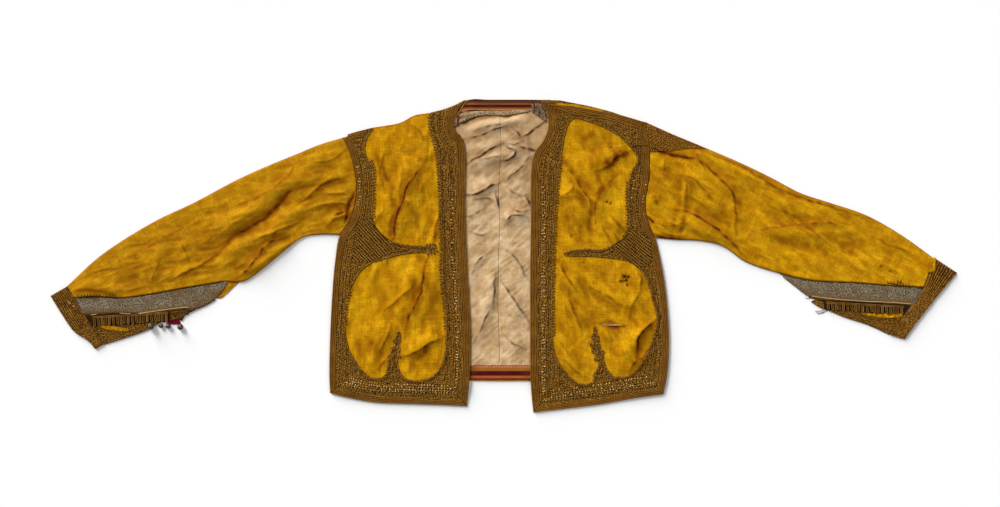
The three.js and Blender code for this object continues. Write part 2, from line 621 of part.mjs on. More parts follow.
addCuff("left", {
  cuff: LEFT_CUFF, slit: LEFT_SLEEVE.slit, tip: LEFT_FACING_TIP, facingFoot: LEFT_FACING_FOOT,
  braidFoot: LEFT_SLIT_BRAID_FOOT, away: 1,
});
addLoops("right", RIGHT_LOOPS);
addLoops("left", LEFT_LOOPS);
addButtons();

export default jacket;
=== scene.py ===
"""Embroidered short jacket, laid flat and face up: its looks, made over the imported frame.

Lengths in the tables are millimetres in the row frame, and meshes are made in metres.
"Right" and "left" are the wearer's, so the right front lies at negative X.
"""

import logging
import math
from dataclasses import dataclass
from enum import Enum
from typing import Callable, ClassVar, Iterable, Sequence

import bpy
import numpy as np
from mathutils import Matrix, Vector
from mathutils.bvhtree import BVHTree


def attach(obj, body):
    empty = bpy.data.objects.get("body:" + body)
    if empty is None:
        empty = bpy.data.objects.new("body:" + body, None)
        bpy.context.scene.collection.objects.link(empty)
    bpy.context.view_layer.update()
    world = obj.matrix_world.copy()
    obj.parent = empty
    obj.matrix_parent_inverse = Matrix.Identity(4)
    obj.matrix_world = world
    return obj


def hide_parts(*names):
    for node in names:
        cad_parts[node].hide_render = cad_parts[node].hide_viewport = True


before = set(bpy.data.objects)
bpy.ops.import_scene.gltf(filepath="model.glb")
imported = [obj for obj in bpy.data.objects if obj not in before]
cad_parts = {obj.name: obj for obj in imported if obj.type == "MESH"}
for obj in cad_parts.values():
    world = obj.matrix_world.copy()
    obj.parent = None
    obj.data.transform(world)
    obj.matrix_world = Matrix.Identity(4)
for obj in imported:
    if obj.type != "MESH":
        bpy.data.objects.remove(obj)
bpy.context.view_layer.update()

Path = Sequence[Sequence[float]]
MM = 0.001
BODY = "root"
BACK_TOP = 1.8  # the height to which the back comes up under the layers on it
UNDERSIDE = 0.25  # the height of the lower side of sleeves and cuffs
EDGE_ROUND = 3.0  # how far in from a sleeve's or cuff's edge its rounding ends
FIELD_ROOM = 5.8  # how much of the braid beside a field's rim follows the rim
log = logging.getLogger("jacket")


# --- lines, patches and creases -------------------------------------------------------------


def reaches(line: np.ndarray) -> np.ndarray:
    """How far along a line each of its points lies."""
    return np.concatenate([[0.0], np.cumsum(np.linalg.norm(np.diff(line, axis=0), axis=1))])


def respaced(line: np.ndarray, step: float) -> np.ndarray:
    """A line with its points set evenly.

    Args:
        line: Points of the line, one a row.
        step: About how far apart the new points are.

    Returns:
        The new points, with both ends kept.
    """
    reach = reaches(line)
    count = max(2, int(round(reach[-1] / step)) + 1)
    spots = np.linspace(0.0, reach[-1], count)
    return np.column_stack([np.interp(spots, reach, line[:, k]) for k in range(line.shape[1])])


def smooth(points: Path, step: float = 2.0, closed: bool = False) -> np.ndarray:
    """A smooth line through points.

    Args:
        points: The points that it passes through.
        step: How far apart the points of the result are.
        closed: Whether it runs on to its first point.

    Returns:
        The line's points.
    """
    p = np.asarray(points, float)
    if closed:
        p = np.vstack([p[-1], p, p[0], p[1]])
    else:
        p = np.vstack([2 * p[0] - p[1], p, 2 * p[-1] - p[-2]])
    runs = []
    for a, b, c, d in zip(p[:-3], p[1:-2], p[2:-1], p[3:]):
        knots = np.cumsum([0.0] + [max(np.linalg.norm(e) ** 0.5, 1e-6) for e in (b - a, c - b, d - c)])
        t = np.linspace(knots[1], knots[2], 20, endpoint=False)[:, None]

        def between(i: int, j: int, low: np.ndarray, high: np.ndarray) -> np.ndarray:
            """The point between two knots' values at t."""
            return ((knots[j] - t) * low + (t - knots[i]) * high) / (knots[j] - knots[i])

        near, middle, far = between(0, 1, a, b), between(1, 2, b, c), between(2, 3, c, d)
        runs.append(between(1, 2, between(0, 2, near, middle), between(1, 3, middle, far)))
    return respaced(np.vstack(runs + [p[-2]]), step)


def at_shares(line: np.ndarray, shares: np.ndarray) -> np.ndarray:
    """The points at these shares of a line's length."""
    reach = reaches(line)
    spots = shares * reach[-1]
    return np.column_stack([np.interp(spots, reach, line[:, k]) for k in range(line.shape[1])])


def normals(line: np.ndarray) -> np.ndarray:
    """Unit vectors to the left of a flat line, at its points."""
    along = np.gradient(line[:, :2], axis=0)
    along /= np.maximum(np.linalg.norm(along, axis=1), 1e-9)[:, None]
    return np.column_stack([-along[:, 1], along[:, 0]])


def ease(share: np.ndarray) -> np.ndarray:
    """A smooth step from 0 to 1."""
    t = np.clip(share, 0.0, 1.0)
    return t * t * (3 - 2 * t)


def nearest(line: np.ndarray, spots: np.ndarray) -> tuple[np.ndarray, np.ndarray, np.ndarray]:
    """How spots lie to a line.

    Args:
        line: The line's points.
        spots: The points to measure, one a row.

    Returns:
        The distance, which side (+1 is left), and the share along the line.
    """
    starts, steps = line[:-1], np.diff(line, axis=0)
    lengths = np.maximum((steps**2).sum(1), 1e-9)
    best = np.full(len(spots), 1e9)
    side = np.ones(len(spots))
    share = np.zeros(len(spots))
    for i, (start, step, square) in enumerate(zip(starts, steps, lengths)):
        away = spots - start
        t = np.clip(away @ step / square, 0, 1)
        gap = np.hypot(*(away - t[:, None] * step).T)
        closer = gap < best
        best[closer] = gap[closer]
        side[closer] = np.sign(step[0] * away[closer, 1] - step[1] * away[closer, 0])
        share[closer] = (i + t[closer]) / len(steps)
    return best, side, share


def ripple(spots: np.ndarray, wavelength: float, seed: int) -> np.ndarray:
    """Smooth uneven waves between about -1 and 1, the same for the same seed."""
    rng = np.random.default_rng(seed)
    total = np.zeros(len(spots))
    for _ in range(11):
        angle, phase = rng.uniform(0, 2 * math.pi, 2)
        pace = 2 * math.pi / (wavelength * rng.uniform(0.65, 1.6))
        total += np.sin(pace * (spots[:, 0] * math.cos(angle) + spots[:, 1] * math.sin(angle)) + phase)
    return total / 3.3


def level_at(spots: np.ndarray, line: Path) -> np.ndarray:
    """The Y of a line that runs across the jacket, at each spot's X."""
    return np.interp(spots[:, 0], *np.array(sorted(line)).T)


def at_level(line: np.ndarray, level: float) -> np.ndarray:
    """A flat line's points, all at one height."""
    return np.column_stack([line, np.full(len(line), level)])


def drawn_out(spots: np.ndarray, degrees: float, share: float = 0.45) -> np.ndarray:
    """Places squeezed in one direction, so that waves over them run long that way."""
    along = np.array([math.cos(math.radians(degrees)), math.sin(math.radians(degrees))])
    return np.column_stack([spots @ along * share, spots @ np.array([-along[1], along[0]])])


def crumple(spots: np.ndarray, degrees: float, rolling: tuple[float, float, int],
            ridged: tuple[float, float, int]) -> np.ndarray:
    """The small unevenness of cloth, drawn out in one direction.

    Args:
        spots: The places to work out, one a row.
        degrees: The direction in which it runs long.
        rolling: Height, wavelength and seed of its soft waves.
        ridged: Height, wavelength and seed of its sharper ridges.

    Returns:
        How far each place is lifted.
    """
    long = drawn_out(spots, degrees)
    return rolling[0] * ripple(long, *rolling[1:]) + ridged[0] * (0.6 - np.abs(ripple(long, *ridged[1:])))


@dataclass(frozen=True)
class Patch:
    """Cloth between four edges: near and far run along u, first and last along v."""

    near: Path
    far: Path
    first: Path
    last: Path

    def grid(self, across: int, along: int) -> np.ndarray:
        """Points of the patch.

        Args:
            across: Cells along u.
            along: Cells along v.

        Returns:
            An array of along + 1 rows and across + 1 columns of points.
        """
        u, v = np.linspace(0, 1, across + 1), np.linspace(0, 1, along + 1)
        a, b = at_shares(smooth(self.near), u), at_shares(smooth(self.far), u)
        c, d = at_shares(smooth(self.first), v), at_shares(smooth(self.last), v)
        s, t = u[None, :, None], v[:, None, None]
        corners = (1 - t) * ((1 - s) * a[0] + s * a[-1]) + t * ((1 - s) * b[0] + s * b[-1])
        return (1 - t) * a[None] + t * b[None] + (1 - s) * c[:, None] + s * d[:, None] - corners


def band_between(near: Path, far: Path) -> Patch:
    """A patch whose ends run straight from one edge to the other."""
    return Patch(near, far, [near[0], far[0]], [near[-1], far[-1]])


class Fold(Enum):
    """How a crease's side falls away: the power of its distance."""

    SOFT = 2.0
    CRISP = 1.15


@dataclass(frozen=True)
class Crease:
    """A ridge of the cloth, or a trough where its height is negative; its dark value sets the painted shade
    along it.
    """

    path: Path
    height: float
    left: float
    right: float
    fold: Fold = Fold.SOFT
    dark: float = 0.0

    def shape(self, spots: np.ndarray) -> tuple[np.ndarray, np.ndarray, np.ndarray]:
        """What it does to the cloth.

        Args:
            spots: The places to work out, one a row.

        Returns:
            How far it lifts each spot, how dark its line of painted shade is there, and how much
            painted shade the cloth beside it gets.
        """
        rise, line, crease_shade = (np.zeros(len(spots)) for _ in range(3))
        way = smooth(self.path, 4.0)
        if self.fold is Fold.CRISP:
            way = way + normals(way) * (0.8 * ripple(way, 20.0, 7 + int(abs(way[0, 0]))))[:, None]
        reach = 3.0 * max(self.left, self.right) + 4.0
        close = np.flatnonzero(((spots > way.min(0) - reach) & (spots < way.max(0) + reach)).all(1))
        gap, side, share = nearest(way, spots[close])
        width = np.where(side > 0, self.left, self.right)
        ends = ease(share / 0.3) * ease((1 - share) / 0.3)
        rise[close] = self.height * np.exp(-((gap / width) ** self.fold.value)) * (0.2 + 0.8 * ends)
        # The dark value paints shade: a thin dark line by the crease and broader painted shade beside it.
        strength = self.dark * (gap < reach) * (0.8 + 0.2 * ripple(spots[close], 13.0, 3))
        if self.fold is Fold.SOFT:
            crease_shade[close] = strength * ends * np.exp(-((gap / width) ** 2))
            line[close] = 1.1 * np.maximum(strength - 0.6, 0.0) * ends * np.exp(-((1.5 * gap / width) ** 2))
            return rise, line, crease_shade
        across = gap * side * (1.0 if self.left <= self.right else -1.0)
        breadth = 1.3 + 0.25 * max(abs(self.height), 2.0)
        core = 1.35 * strength * (0.45 + 0.55 * ends) * np.exp(-(((across - 0.8) / breadth) ** 2))
        line[close] = np.minimum(core, 1.0)
        fall = np.where(across > 0, across / 9.0, -across / 3.5)
        crease_shade[close] = np.minimum(1.25 * strength * (0.25 + 0.75 * ends) * np.exp(-fall), 1.0)
        return rise, line, crease_shade


def creased(creases: Iterable[Crease], spots: np.ndarray) -> tuple[np.ndarray, np.ndarray, np.ndarray]:
    """What all these creases add to the height of each spot, and the painted shade of their lines and sides.
    """
    rise, line, crease_shade = (np.zeros(len(spots)) for _ in range(3))
    for crease in creases:
        more = crease.shape(spots)
        rise += more[0]
        line = np.maximum(line, more[1])
        crease_shade = np.maximum(crease_shade, more[2])
    return rise, line, crease_shade


@dataclass(frozen=True)
class Spot:
    """A round place on the cloth: a discoloured patch, or with a negative strength a patch of painted light.
    """

    x: float
    y: float
    radius: float
    strength: float = 1.0

    def share(self, spots: np.ndarray) -> np.ndarray:
        """How much of it each point gets, with an uneven rim."""
        gap = np.hypot(spots[:, 0] - self.x, spots[:, 1] - self.y)
        rim = self.radius * (1 + 0.3 * ripple(spots, self.radius * 1.1, int(self.radius * 7)))
        return self.strength * (1 - ease(gap / np.maximum(rim, 1) - 0.4))


def spotted(spots: Iterable[Spot], places: np.ndarray) -> tuple[np.ndarray, np.ndarray]:
    """How much each place is discoloured, and, where a spot's strength is negative, how much painted light
    brightens it.
    """
    stain_and_shade, worn = np.zeros(len(places)), np.zeros(len(places))
    for spot in spots:
        share = spot.share(places)
        stain_and_shade = np.maximum(stain_and_shade, share)
        worn = np.minimum(worn, share)
    return stain_and_shade, worn


class DistanceMap:
    """Signed distances to a closed outline, positive outside it."""

    PITCH = 1.5
    MARGIN = 24.0

    def __init__(self, outline: Path) -> None:
        """Measures them on a raster.

        Args:
            outline: The outline's points, the first not repeated.
        """
        outline = np.asarray(outline, float)
        ring = respaced(np.vstack([outline, outline[:1]]), 4.0)
        self.low = ring.min(0) - self.MARGIN
        self.count = np.ceil((ring.max(0) + self.MARGIN - self.low) / self.PITCH).astype(int) + 1
        xs = self.low[0] + self.PITCH * np.arange(self.count[0])
        ys = self.low[1] + self.PITCH * np.arange(self.count[1])
        spots = np.stack(np.meshgrid(xs, ys), axis=-1).reshape(-1, 2)
        gap = nearest(ring, spots)[0]
        inside = np.zeros(len(spots), bool)
        for (x1, y1), (x2, y2) in zip(ring[:-1], ring[1:]):
            crosses = (y1 > spots[:, 1]) != (y2 > spots[:, 1])
            with np.errstate(divide="ignore", invalid="ignore"):
                at = x1 + (spots[:, 1] - y1) * (x2 - x1) / (y2 - y1)
            inside ^= crosses & (spots[:, 0] < at)
        self.values = np.where(inside, -gap, gap).reshape(self.count[1], self.count[0])

    def __call__(self, spots: np.ndarray) -> np.ndarray:
        """The distance at each spot."""
        place = (spots[:, :2] - self.low) / self.PITCH
        place = np.clip(place, 0, self.count - 1.001)
        i, j = place[:, 0].astype(int), place[:, 1].astype(int)
        s, t = place[:, 0] - i, place[:, 1] - j
        low = self.values[j, i] * (1 - s) + self.values[j, i + 1] * s
        high = self.values[j + 1, i] * (1 - s) + self.values[j + 1, i + 1] * s
        return low * (1 - t) + high * t


# --- meshes ---------------------------------------------------------------------------------


class Ground:
    """The top of what is already laid, on which the next layer is set down."""

    def __init__(self) -> None:
        """Starts with nothing laid."""
        self.layers: list[BVHTree] = []

    def lay(self, verts: np.ndarray, faces: np.ndarray) -> None:
        """Adds a layer, in millimetres."""
        self.layers.append(BVHTree.FromPolygons(verts.tolist(), faces.tolist()))

    def heights(self, spots: np.ndarray) -> np.ndarray:
        """The highest layer under each spot, or 0 where there is none."""
        down = Vector((0, 0, -1))
        found = np.zeros(len(spots))
        for i, (x, y) in enumerate(spots[:, :2].tolist()):
            for layer in self.layers:
                hit = layer.ray_cast(Vector((x, y, 90.0)), down)[0]
                if hit is not None and hit.z > found[i]:
                    found[i] = hit.z
        return found


def placed(name: str, data: bpy.types.ID) -> bpy.types.Object:
    """An object of this data, in the scene and at the origin."""
    obj = bpy.data.objects.new(name, data)
    bpy.context.scene.collection.objects.link(obj)
    return obj


def marked_mesh(name: str, verts: np.ndarray, edges: list, faces: list,
                marks: dict[str, object]) -> bpy.types.Mesh:
    """Mesh data with values at its points.

    Args:
        name: Its name.
        verts: Its points, in millimetres.
        edges: Its loose edges, as rows of point numbers.
        faces: Its faces, in the same way.
        marks: Values for each point, by attribute name.

    Returns:
        The mesh, smooth-shaded.
    """
    mesh = bpy.data.meshes.new(name)
    mesh.from_pydata((verts * MM).tolist(), edges, faces)
    for mark, values in marks.items():
        mesh.attributes.new(mark, "FLOAT", "POINT").data.foreach_set("value", np.asarray(values, np.float32))
    if faces:
        mesh.polygons.foreach_set("use_smooth", [True] * len(faces))
    return mesh


def cells(rows: int, columns: int, closed: bool = False) -> np.ndarray:
    """Faces of a grid of points, row by row, whose columns may close into a ring."""
    r, c = np.meshgrid(np.arange(rows - 1), np.arange(columns if closed else columns - 1), indexing="ij")
    r, c = r.ravel(), c.ravel()
    after = (c + 1) % columns
    near, far = r * columns, (r + 1) * columns
    return np.column_stack([near + c, near + after, far + after, far + c])


def facing_up(verts: np.ndarray, faces: np.ndarray) -> np.ndarray:
    """The same faces, turned over if the highest of them look down."""
    a, b, d = verts[faces[:, 0]], verts[faces[:, 1]], verts[faces[:, 3]]
    up = np.cross(b - a, d - a)[:, 2]
    high = a[:, 2] >= np.median(verts[:, 2])
    return faces if up[high].sum() > 0 else faces[:, ::-1]


def hollows(heights: np.ndarray, reach: int) -> np.ndarray:
    """How far each point of a grid lies below its neighbours, in millimetres."""
    padded = np.pad(heights, reach, mode="edge")
    total = np.zeros_like(heights)
    shifts = [(0, reach), (reach, 0), (2 * reach, reach), (reach, 2 * reach), (0, 0), (2 * reach, 2 * reach)]
    for dy, dx in shifts:
        total += padded[dy : dy + heights.shape[0], dx : dx + heights.shape[1]]
    return total / len(shifts) - heights


def insets(grid: np.ndarray) -> np.ndarray:
    """How far each point of a tube's upper side lies in from the tube's edges."""
    width = np.linalg.norm(grid[:, -1] - grid[:, 0], axis=1)
    share = np.linspace(0, 1, grid.shape[1])
    return np.minimum(share, 1 - share)[None, :] * width[:, None]


def flat_tube(grid: np.ndarray, lowest: float, top: np.ndarray, below: np.ndarray) -> tuple[np.ndarray,
                                                                                            np.ndarray]:
    """A flattened tube whose edges are rounded off.

    Args:
        grid: Places of its upper side.
        lowest: The height to which its edges come down.
        top: Heights of its upper side.
        below: Places of its lower side.

    Returns:
        Its points, row by row round the tube, and its faces.
    """
    round_off = np.sqrt(np.clip(1 - (1 - np.clip(insets(grid) / EDGE_ROUND, 0, 1)) ** 2, 0, 1))
    lower = below[:, ::-1][:, 1:-1]
    floor = np.full(lower.shape[:2], UNDERSIDE)
    upper = lowest + (top - lowest) * round_off
    ring = np.concatenate([np.dstack([grid, upper]), np.dstack([lower, floor])], axis=1)
    verts = ring.reshape(-1, 3)
    return verts, facing_up(verts, cells(len(ring), ring.shape[1], closed=True))


def thicken(obj: bpy.types.Object, wall: float) -> None:
    """Gives a sheet its thickness, downwards from its face."""
    solid = obj.modifiers.new("wall", "SOLIDIFY")
    solid.thickness = wall * MM
    solid.offset = -1.0
    solid.use_even_offset = False


# --- node helpers ---------------------------------------------------------------------------


class Wiring:
    """Adds and joins nodes in one tree."""

    def __init__(self, tree: bpy.types.NodeTree) -> None:
        """Keeps the tree that it wires."""
        self.tree = tree

    def node(self, kind: str, inputs: dict[str | int, object] | None = None,
             **settings: object) -> bpy.types.Node:
        """A node of the tree.

        Args:
            kind: Its type.
            inputs: Values or sockets for its inputs, by name or number.
            **settings: Its own settings.

        Returns:
            The node.
        """
        made = self.tree.nodes.new(kind)
        for key, value in settings.items():
            setattr(made, key, value)
        for key, value in (inputs or {}).items():
            if isinstance(value, bpy.types.NodeSocket):
                self.tree.links.new(value, made.inputs[key])
            else:
                made.inputs[key].default_value = value
        return made

    def first(self, kind: str, inputs: dict[str | int, object] | None = None,
              **settings: object) -> bpy.types.NodeSocket:
        """The first output of a new node."""
        return self.node(kind, inputs, **settings).outputs[0]

    def maths(self, operation: str, *values: object) -> bpy.types.NodeSocket:
        """The result of an operation on values or sockets."""
        return self.first("ShaderNodeMath", dict(enumerate(values)), operation=operation)

    def times(self, first: object, second: object) -> bpy.types.NodeSocket:
        """The product of two values or sockets."""
        return self.maths("MULTIPLY", first, second)

    def plus(self, first: object, second: object) -> bpy.types.NodeSocket:
        """The sum of two values or sockets."""
        return self.maths("ADD", first, second)

    def blend(self, share: object, low: object, high: object, kind: str = "MIX") -> bpy.types.NodeSocket:
        """Two colours mixed by a share."""
        made = self.node("ShaderNodeMix", data_type="RGBA", blend_type=kind)
        for socket, value in zip((made.inputs[0], made.inputs[6], made.inputs[7]), (share, low, high)):
            if isinstance(value, bpy.types.NodeSocket):
                self.tree.links.new(value, socket)
            else:
                socket.default_value = value if isinstance(value, float) else (*value, 1.0)
        return made.outputs[2]

    def span(self, value: object, low: float, high: float) -> bpy.types.NodeSocket:
        """A value's smooth place between low and high, from 0 to 1."""
        return self.first("ShaderNodeMapRange", {0: value, 1: low, 2: high}, interpolation_type="SMOOTHSTEP")

    def noise(self, vector: object, scale: float, detail: float = 3.0,
              rough: float = 0.55) -> bpy.types.NodeSocket:
        """Noise over a place."""
        made = self.node("ShaderNodeTexNoise", {"Scale": scale, "Detail": detail, "Roughness": rough})
        self.tree.links.new(vector, made.inputs["Vector"])
        return made.outputs["Fac"]

    def mark(self, name: str) -> bpy.types.NodeSocket:
        """A mesh attribute's value."""
        return self.node("ShaderNodeAttribute", attribute_name=name).outputs["Fac"]


def linear(red: int, green: int, blue: int) -> tuple[float, float, float]:
    """A screen colour of 0 to 255 as a linear one."""
    shares = (red / 255, green / 255, blue / 255)
    return tuple(c / 12.92 if c <= 0.04045 else ((c + 0.055) / 1.055) ** 2.4 for c in shares)


def group(name: str, kind: str, takes: dict[str, str], gives: dict[str, str]) -> Wiring:
    """An empty node group with its sockets.

    Args:
        name: The group's name.
        kind: Its kind of tree.
        takes: Kinds of its inputs, such as Float, by name.
        gives: Kinds of its outputs, by name.

    Returns:
        The wiring of the group.
    """
    made = bpy.data.node_groups.new(name, kind)
    for direction, sockets in (("INPUT", takes), ("OUTPUT", gives)):
        for socket, value in sockets.items():
            made.interface.new_socket(socket, in_out=direction, socket_type=f"NodeSocket{value}")
    return Wiring(made)


class SharedEffects:
    """Node groups that several finishes use, each built once."""

    def __init__(self) -> None:
        """Builds them."""
        self.weave = self.build_weave()
        self.age = self.build_age()

    def build_weave(self) -> bpy.types.NodeTree:
        """A plain weave with uneven threads: its height and a thread tone."""
        wire = group("plain weave", "ShaderNodeTree",
                     {"Place": "Vector", "Threads": "Float", "Unevenness": "Float"},
                     {"Height": "Float", "Tone": "Float"})
        given = wire.node("NodeGroupInput")
        sent = wire.node("NodeGroupOutput")
        place = given.outputs["Place"]
        warp_noise = wire.noise(wire.first("ShaderNodeMapping", {0: place, 3: (620, 30, 620)}), 1.0)
        weft_noise = wire.noise(wire.first("ShaderNodeMapping", {0: place, 3: (30, 620, 620)}), 1.0)
        split = wire.node("ShaderNodeSeparateXYZ", {0: place})
        pace = wire.times(given.outputs["Threads"], 2 * math.pi)
        across = wire.maths("SINE", wire.times(split.outputs[0], pace))
        along = wire.maths("SINE", wire.times(split.outputs[1], pace))
        crossing = wire.times(across, along)
        uneven = wire.maths("SUBTRACT", wire.maths("MAXIMUM", warp_noise, weft_noise), 0.5)
        slub = wire.times(uneven, given.outputs["Unevenness"])
        height = wire.plus(wire.times(crossing, 0.5), slub)
        wire.tree.links.new(height, sent.inputs["Height"])
        tone = wire.plus(wire.times(warp_noise, 0.5), wire.times(weft_noise, 0.5))
        wire.tree.links.new(tone, sent.inputs["Tone"])
        return wire.tree

    def build_age(self) -> bpy.types.NodeTree:
        """Broad stains, fine specks and fading over a place."""
        wire = group("age", "ShaderNodeTree", {"Place": "Vector", "Seed": "Vector"},
                     {"Stain": "Float", "Specks": "Float", "Fade": "Float"})
        given = wire.node("NodeGroupInput")
        sent = wire.node("NodeGroupOutput")
        moved = wire.first("ShaderNodeMapping", {0: given.outputs["Place"],
                                                1: given.outputs["Seed"]})
        for output, scale, detail, rough, low, high in (
            ("Stain", 24.0, 6.0, 0.66, 0.46, 0.72),
            ("Specks", 420.0, 2.0, 0.5, 0.6, 0.72),
            ("Fade", 60.0, 5.0, 0.66, 0.38, 0.66),
        ):
            wire.tree.links.new(wire.span(wire.noise(moved, scale, detail, rough), low, high),
                                sent.inputs[output])
        return wire.tree


@dataclass(frozen=True)
class Sheen:
    """The parts of a finish that are the same all over it."""

    roughness: float = 0.9
    fuzz: float = 0.015
    fuzz_roughness: float = 0.5
    specular: float = 0.04


class Finish:
    """A material being built: its surface shader, wiring and place."""

    def __init__(self, name: str, effects: SharedEffects, sheen: Sheen, turn: float = 0.0) -> None:
        """Starts the material.

        Args:
            name: Its name.
            effects: The shared node groups.
            sheen: What is the same all over.
            turn: How far the weave is turned, in degrees.
        """
        self.material = bpy.data.materials.new(name)
        self.material.use_nodes = True
        self.effects = effects
        self.wire = Wiring(self.material.node_tree)
        self.surface = self.material.node_tree.nodes["Principled BSDF"]
        self.surface.inputs["Roughness"].default_value = sheen.roughness
        self.surface.inputs["Sheen Weight"].default_value = sheen.fuzz
        self.surface.inputs["Sheen Roughness"].default_value = sheen.fuzz_roughness
        self.surface.inputs["Specular IOR Level"].default_value = sheen.specular
        texture = self.wire.node("ShaderNodeTexCoord")
        mapping = self.wire.node("ShaderNodeMapping", {0: texture.outputs["Object"],
                                                       2: (0, 0, math.radians(turn))})
        self.place = mapping.outputs[0]

    def use(self, group: bpy.types.NodeTree, **inputs: object) -> bpy.types.Node:
        """Places a shared group in the material, over the finish's own place."""
        return self.wire.node("ShaderNodeGroup", {"Place": self.place, **inputs}, node_tree=group)

    def relief(self, height: bpy.types.NodeSocket, strength: float, depth: float) -> None:
        """Joins a height to the surface's normal.

        Args:
            height: The height socket.
            strength: How much of it shows.
            depth: How deep a height of 1 is, in millimetres.
        """
        bump = self.wire.node("ShaderNodeBump", {"Strength": strength, "Distance": depth * MM,
                                                 "Height": height})
        self.material.node_tree.links.new(bump.outputs[0], self.surface.inputs["Normal"])

    def paint(self, colour: bpy.types.NodeSocket) -> bpy.types.Material:
        """Joins a colour to the surface and gives the material back."""
        self.material.node_tree.links.new(colour, self.surface.inputs["Base Color"])
        return self.material


@dataclass(frozen=True)
class WovenCloth:
    """Plain-woven cloth with stains, painted shade in its hollows and painted highlight on its crests."""

    name: str
    slot: str
    body: tuple[float, float, float]
    bright: tuple[float, float, float]
    stain_and_shade_colour: tuple[float, float, float]
    threads: float = 900.0
    turn: float = 0.0
    seed: float = 0.0
    ground: tuple[float, float, float] | None = None
    # groove is the colour of the line mark: painted shade along crease lines, splits and holes, and the dark
    # of the rims; gap is the deepest painted shade, in splits and holes.
    groove: tuple[float, float, float] = (0.12, 0.014, 0.0)
    gap: tuple[float, float, float] = (0.035, 0.014, 0.003)
    grain: float = 0.4
    sheen: Sheen = Sheen()

    def make(self, effects: SharedEffects) -> bpy.types.Material:
        """Builds the material, with the ground colour past the embroidered field's rim if it has one."""
        finish = Finish(self.name, effects, self.sheen, self.turn)
        wire = finish.wire
        weave = finish.use(effects.weave, Threads=self.threads, Unevenness=1.6)
        age = finish.use(effects.age, Seed=(self.seed, self.seed * 0.7, 0.0))
        colour = wire.blend(wire.times(age.outputs["Fade"], 0.8), self.body, self.bright)
        # Real stains and the painted shade beside creases, then painted shade in hollows, all towards one
        # colour.
        stain_and_shade = wire.maths("MAXIMUM", wire.times(age.outputs["Stain"], 0.4), wire.mark("stain_and_shade"))
        # Painted shade in hollows, where the cloth lies below its neighbours.
        hollow = wire.span(wire.mark("hollow"), 0.05, 1.2)
        stain_and_shade = wire.maths("MINIMUM", wire.plus(stain_and_shade, wire.times(hollow, 0.4)), 1.0)
        colour = wire.blend(stain_and_shade, colour, self.stain_and_shade_colour)
        # Painted highlight on crests, where the cloth stands above its neighbours.
        crest = wire.span(wire.mark("hollow"), -0.1, -1.0)
        colour = wire.blend(wire.times(crest, 0.4), colour, self.bright)
        tone = wire.span(weave.outputs["Tone"], 0.40, 0.60)
        colour = wire.blend(wire.times(tone, self.grain), colour, self.stain_and_shade_colour)
        colour = wire.blend(wire.times(age.outputs["Specks"], 0.25), colour, self.stain_and_shade_colour)
        # The line mark's painted shade, deepest in splits and holes.
        colour = wire.blend(wire.mark("line"), colour, self.groove)
        colour = wire.blend(wire.times(wire.span(wire.mark("line"), 0.72, 1.0), 0.85), colour, self.gap)
        if self.ground is not None:
            uneven = wire.times(wire.maths("SUBTRACT", wire.noise(finish.place, 500.0), 0.5), 2.0)
            rim = wire.span(wire.plus(wire.mark("field"), uneven), -0.5, 0.5)
            grain = wire.span(wire.noise(finish.place, 430.0, 1.5, 0.6), 0.45, 0.65)
            grain = wire.times(grain, wire.span(wire.mark("net"), -3.0, 2.0))
            colour = wire.blend(rim, colour, wire.blend(grain, self.ground, GOLD_CORD))
        finish.relief(weave.outputs["Height"], 0.6, 0.2)
        return finish.paint(colour)


@dataclass(frozen=True)
class TwistedCord:
    """Couched cord: a two-ply twist with painted highlight on its crown and painted shade in its grooves,
    worn in places.
    """

    name: str
    slot: str
    crown: tuple[float, float, float]
    hollow: tuple[float, float, float]
    worn: tuple[float, float, float]
    ply: float = 1.6
    sheen: Sheen = Sheen(roughness=0.75, fuzz=0.0, specular=0.08)

    def make(self, effects: SharedEffects) -> bpy.types.Material:
        """Builds the material over the cord's own length and round."""
        finish = Finish(self.name, effects, self.sheen)
        wire = finish.wire
        age = finish.use(effects.age, Seed=(0.4, 0.1, 0.0))
        lay = wire.plus(wire.times(wire.mark("along"), 1000 / self.ply), wire.mark("around"))
        twist = wire.maths("SINE", wire.times(lay, 2 * math.pi))
        # Painted shade in the twist's grooves and painted highlight on its crown.
        depth = wire.span(twist, -1.0, 0.9)
        colour = wire.blend(depth, self.hollow, self.crown)
        colour = wire.blend(wire.span(wire.mark("shade"), 0.0, 1.0), self.hollow, colour)
        worn = wire.times(wire.times(age.outputs["Fade"], depth), 0.55)
        gold = wire.maths("MAXIMUM", worn, wire.span(wire.mark("shade"), 1.0, 1.5))
        colour = wire.blend(gold, colour, self.worn)
        grain = wire.noise(finish.place, 430.0, 1.5, 0.6)
        inner = wire.span(wire.mark("girth"), 0.99, 0.9)
        dark = wire.times(wire.times(wire.span(grain, 0.52, 0.38), inner), 0.62)
        colour = wire.blend(dark, colour, self.hollow)
        light = wire.times(wire.times(wire.span(grain, 0.5, 0.62), inner), 0.8)
        colour = wire.blend(light, colour, self.worn)
        finish.relief(depth, 0.8, 0.35)
        return finish.paint(colour)


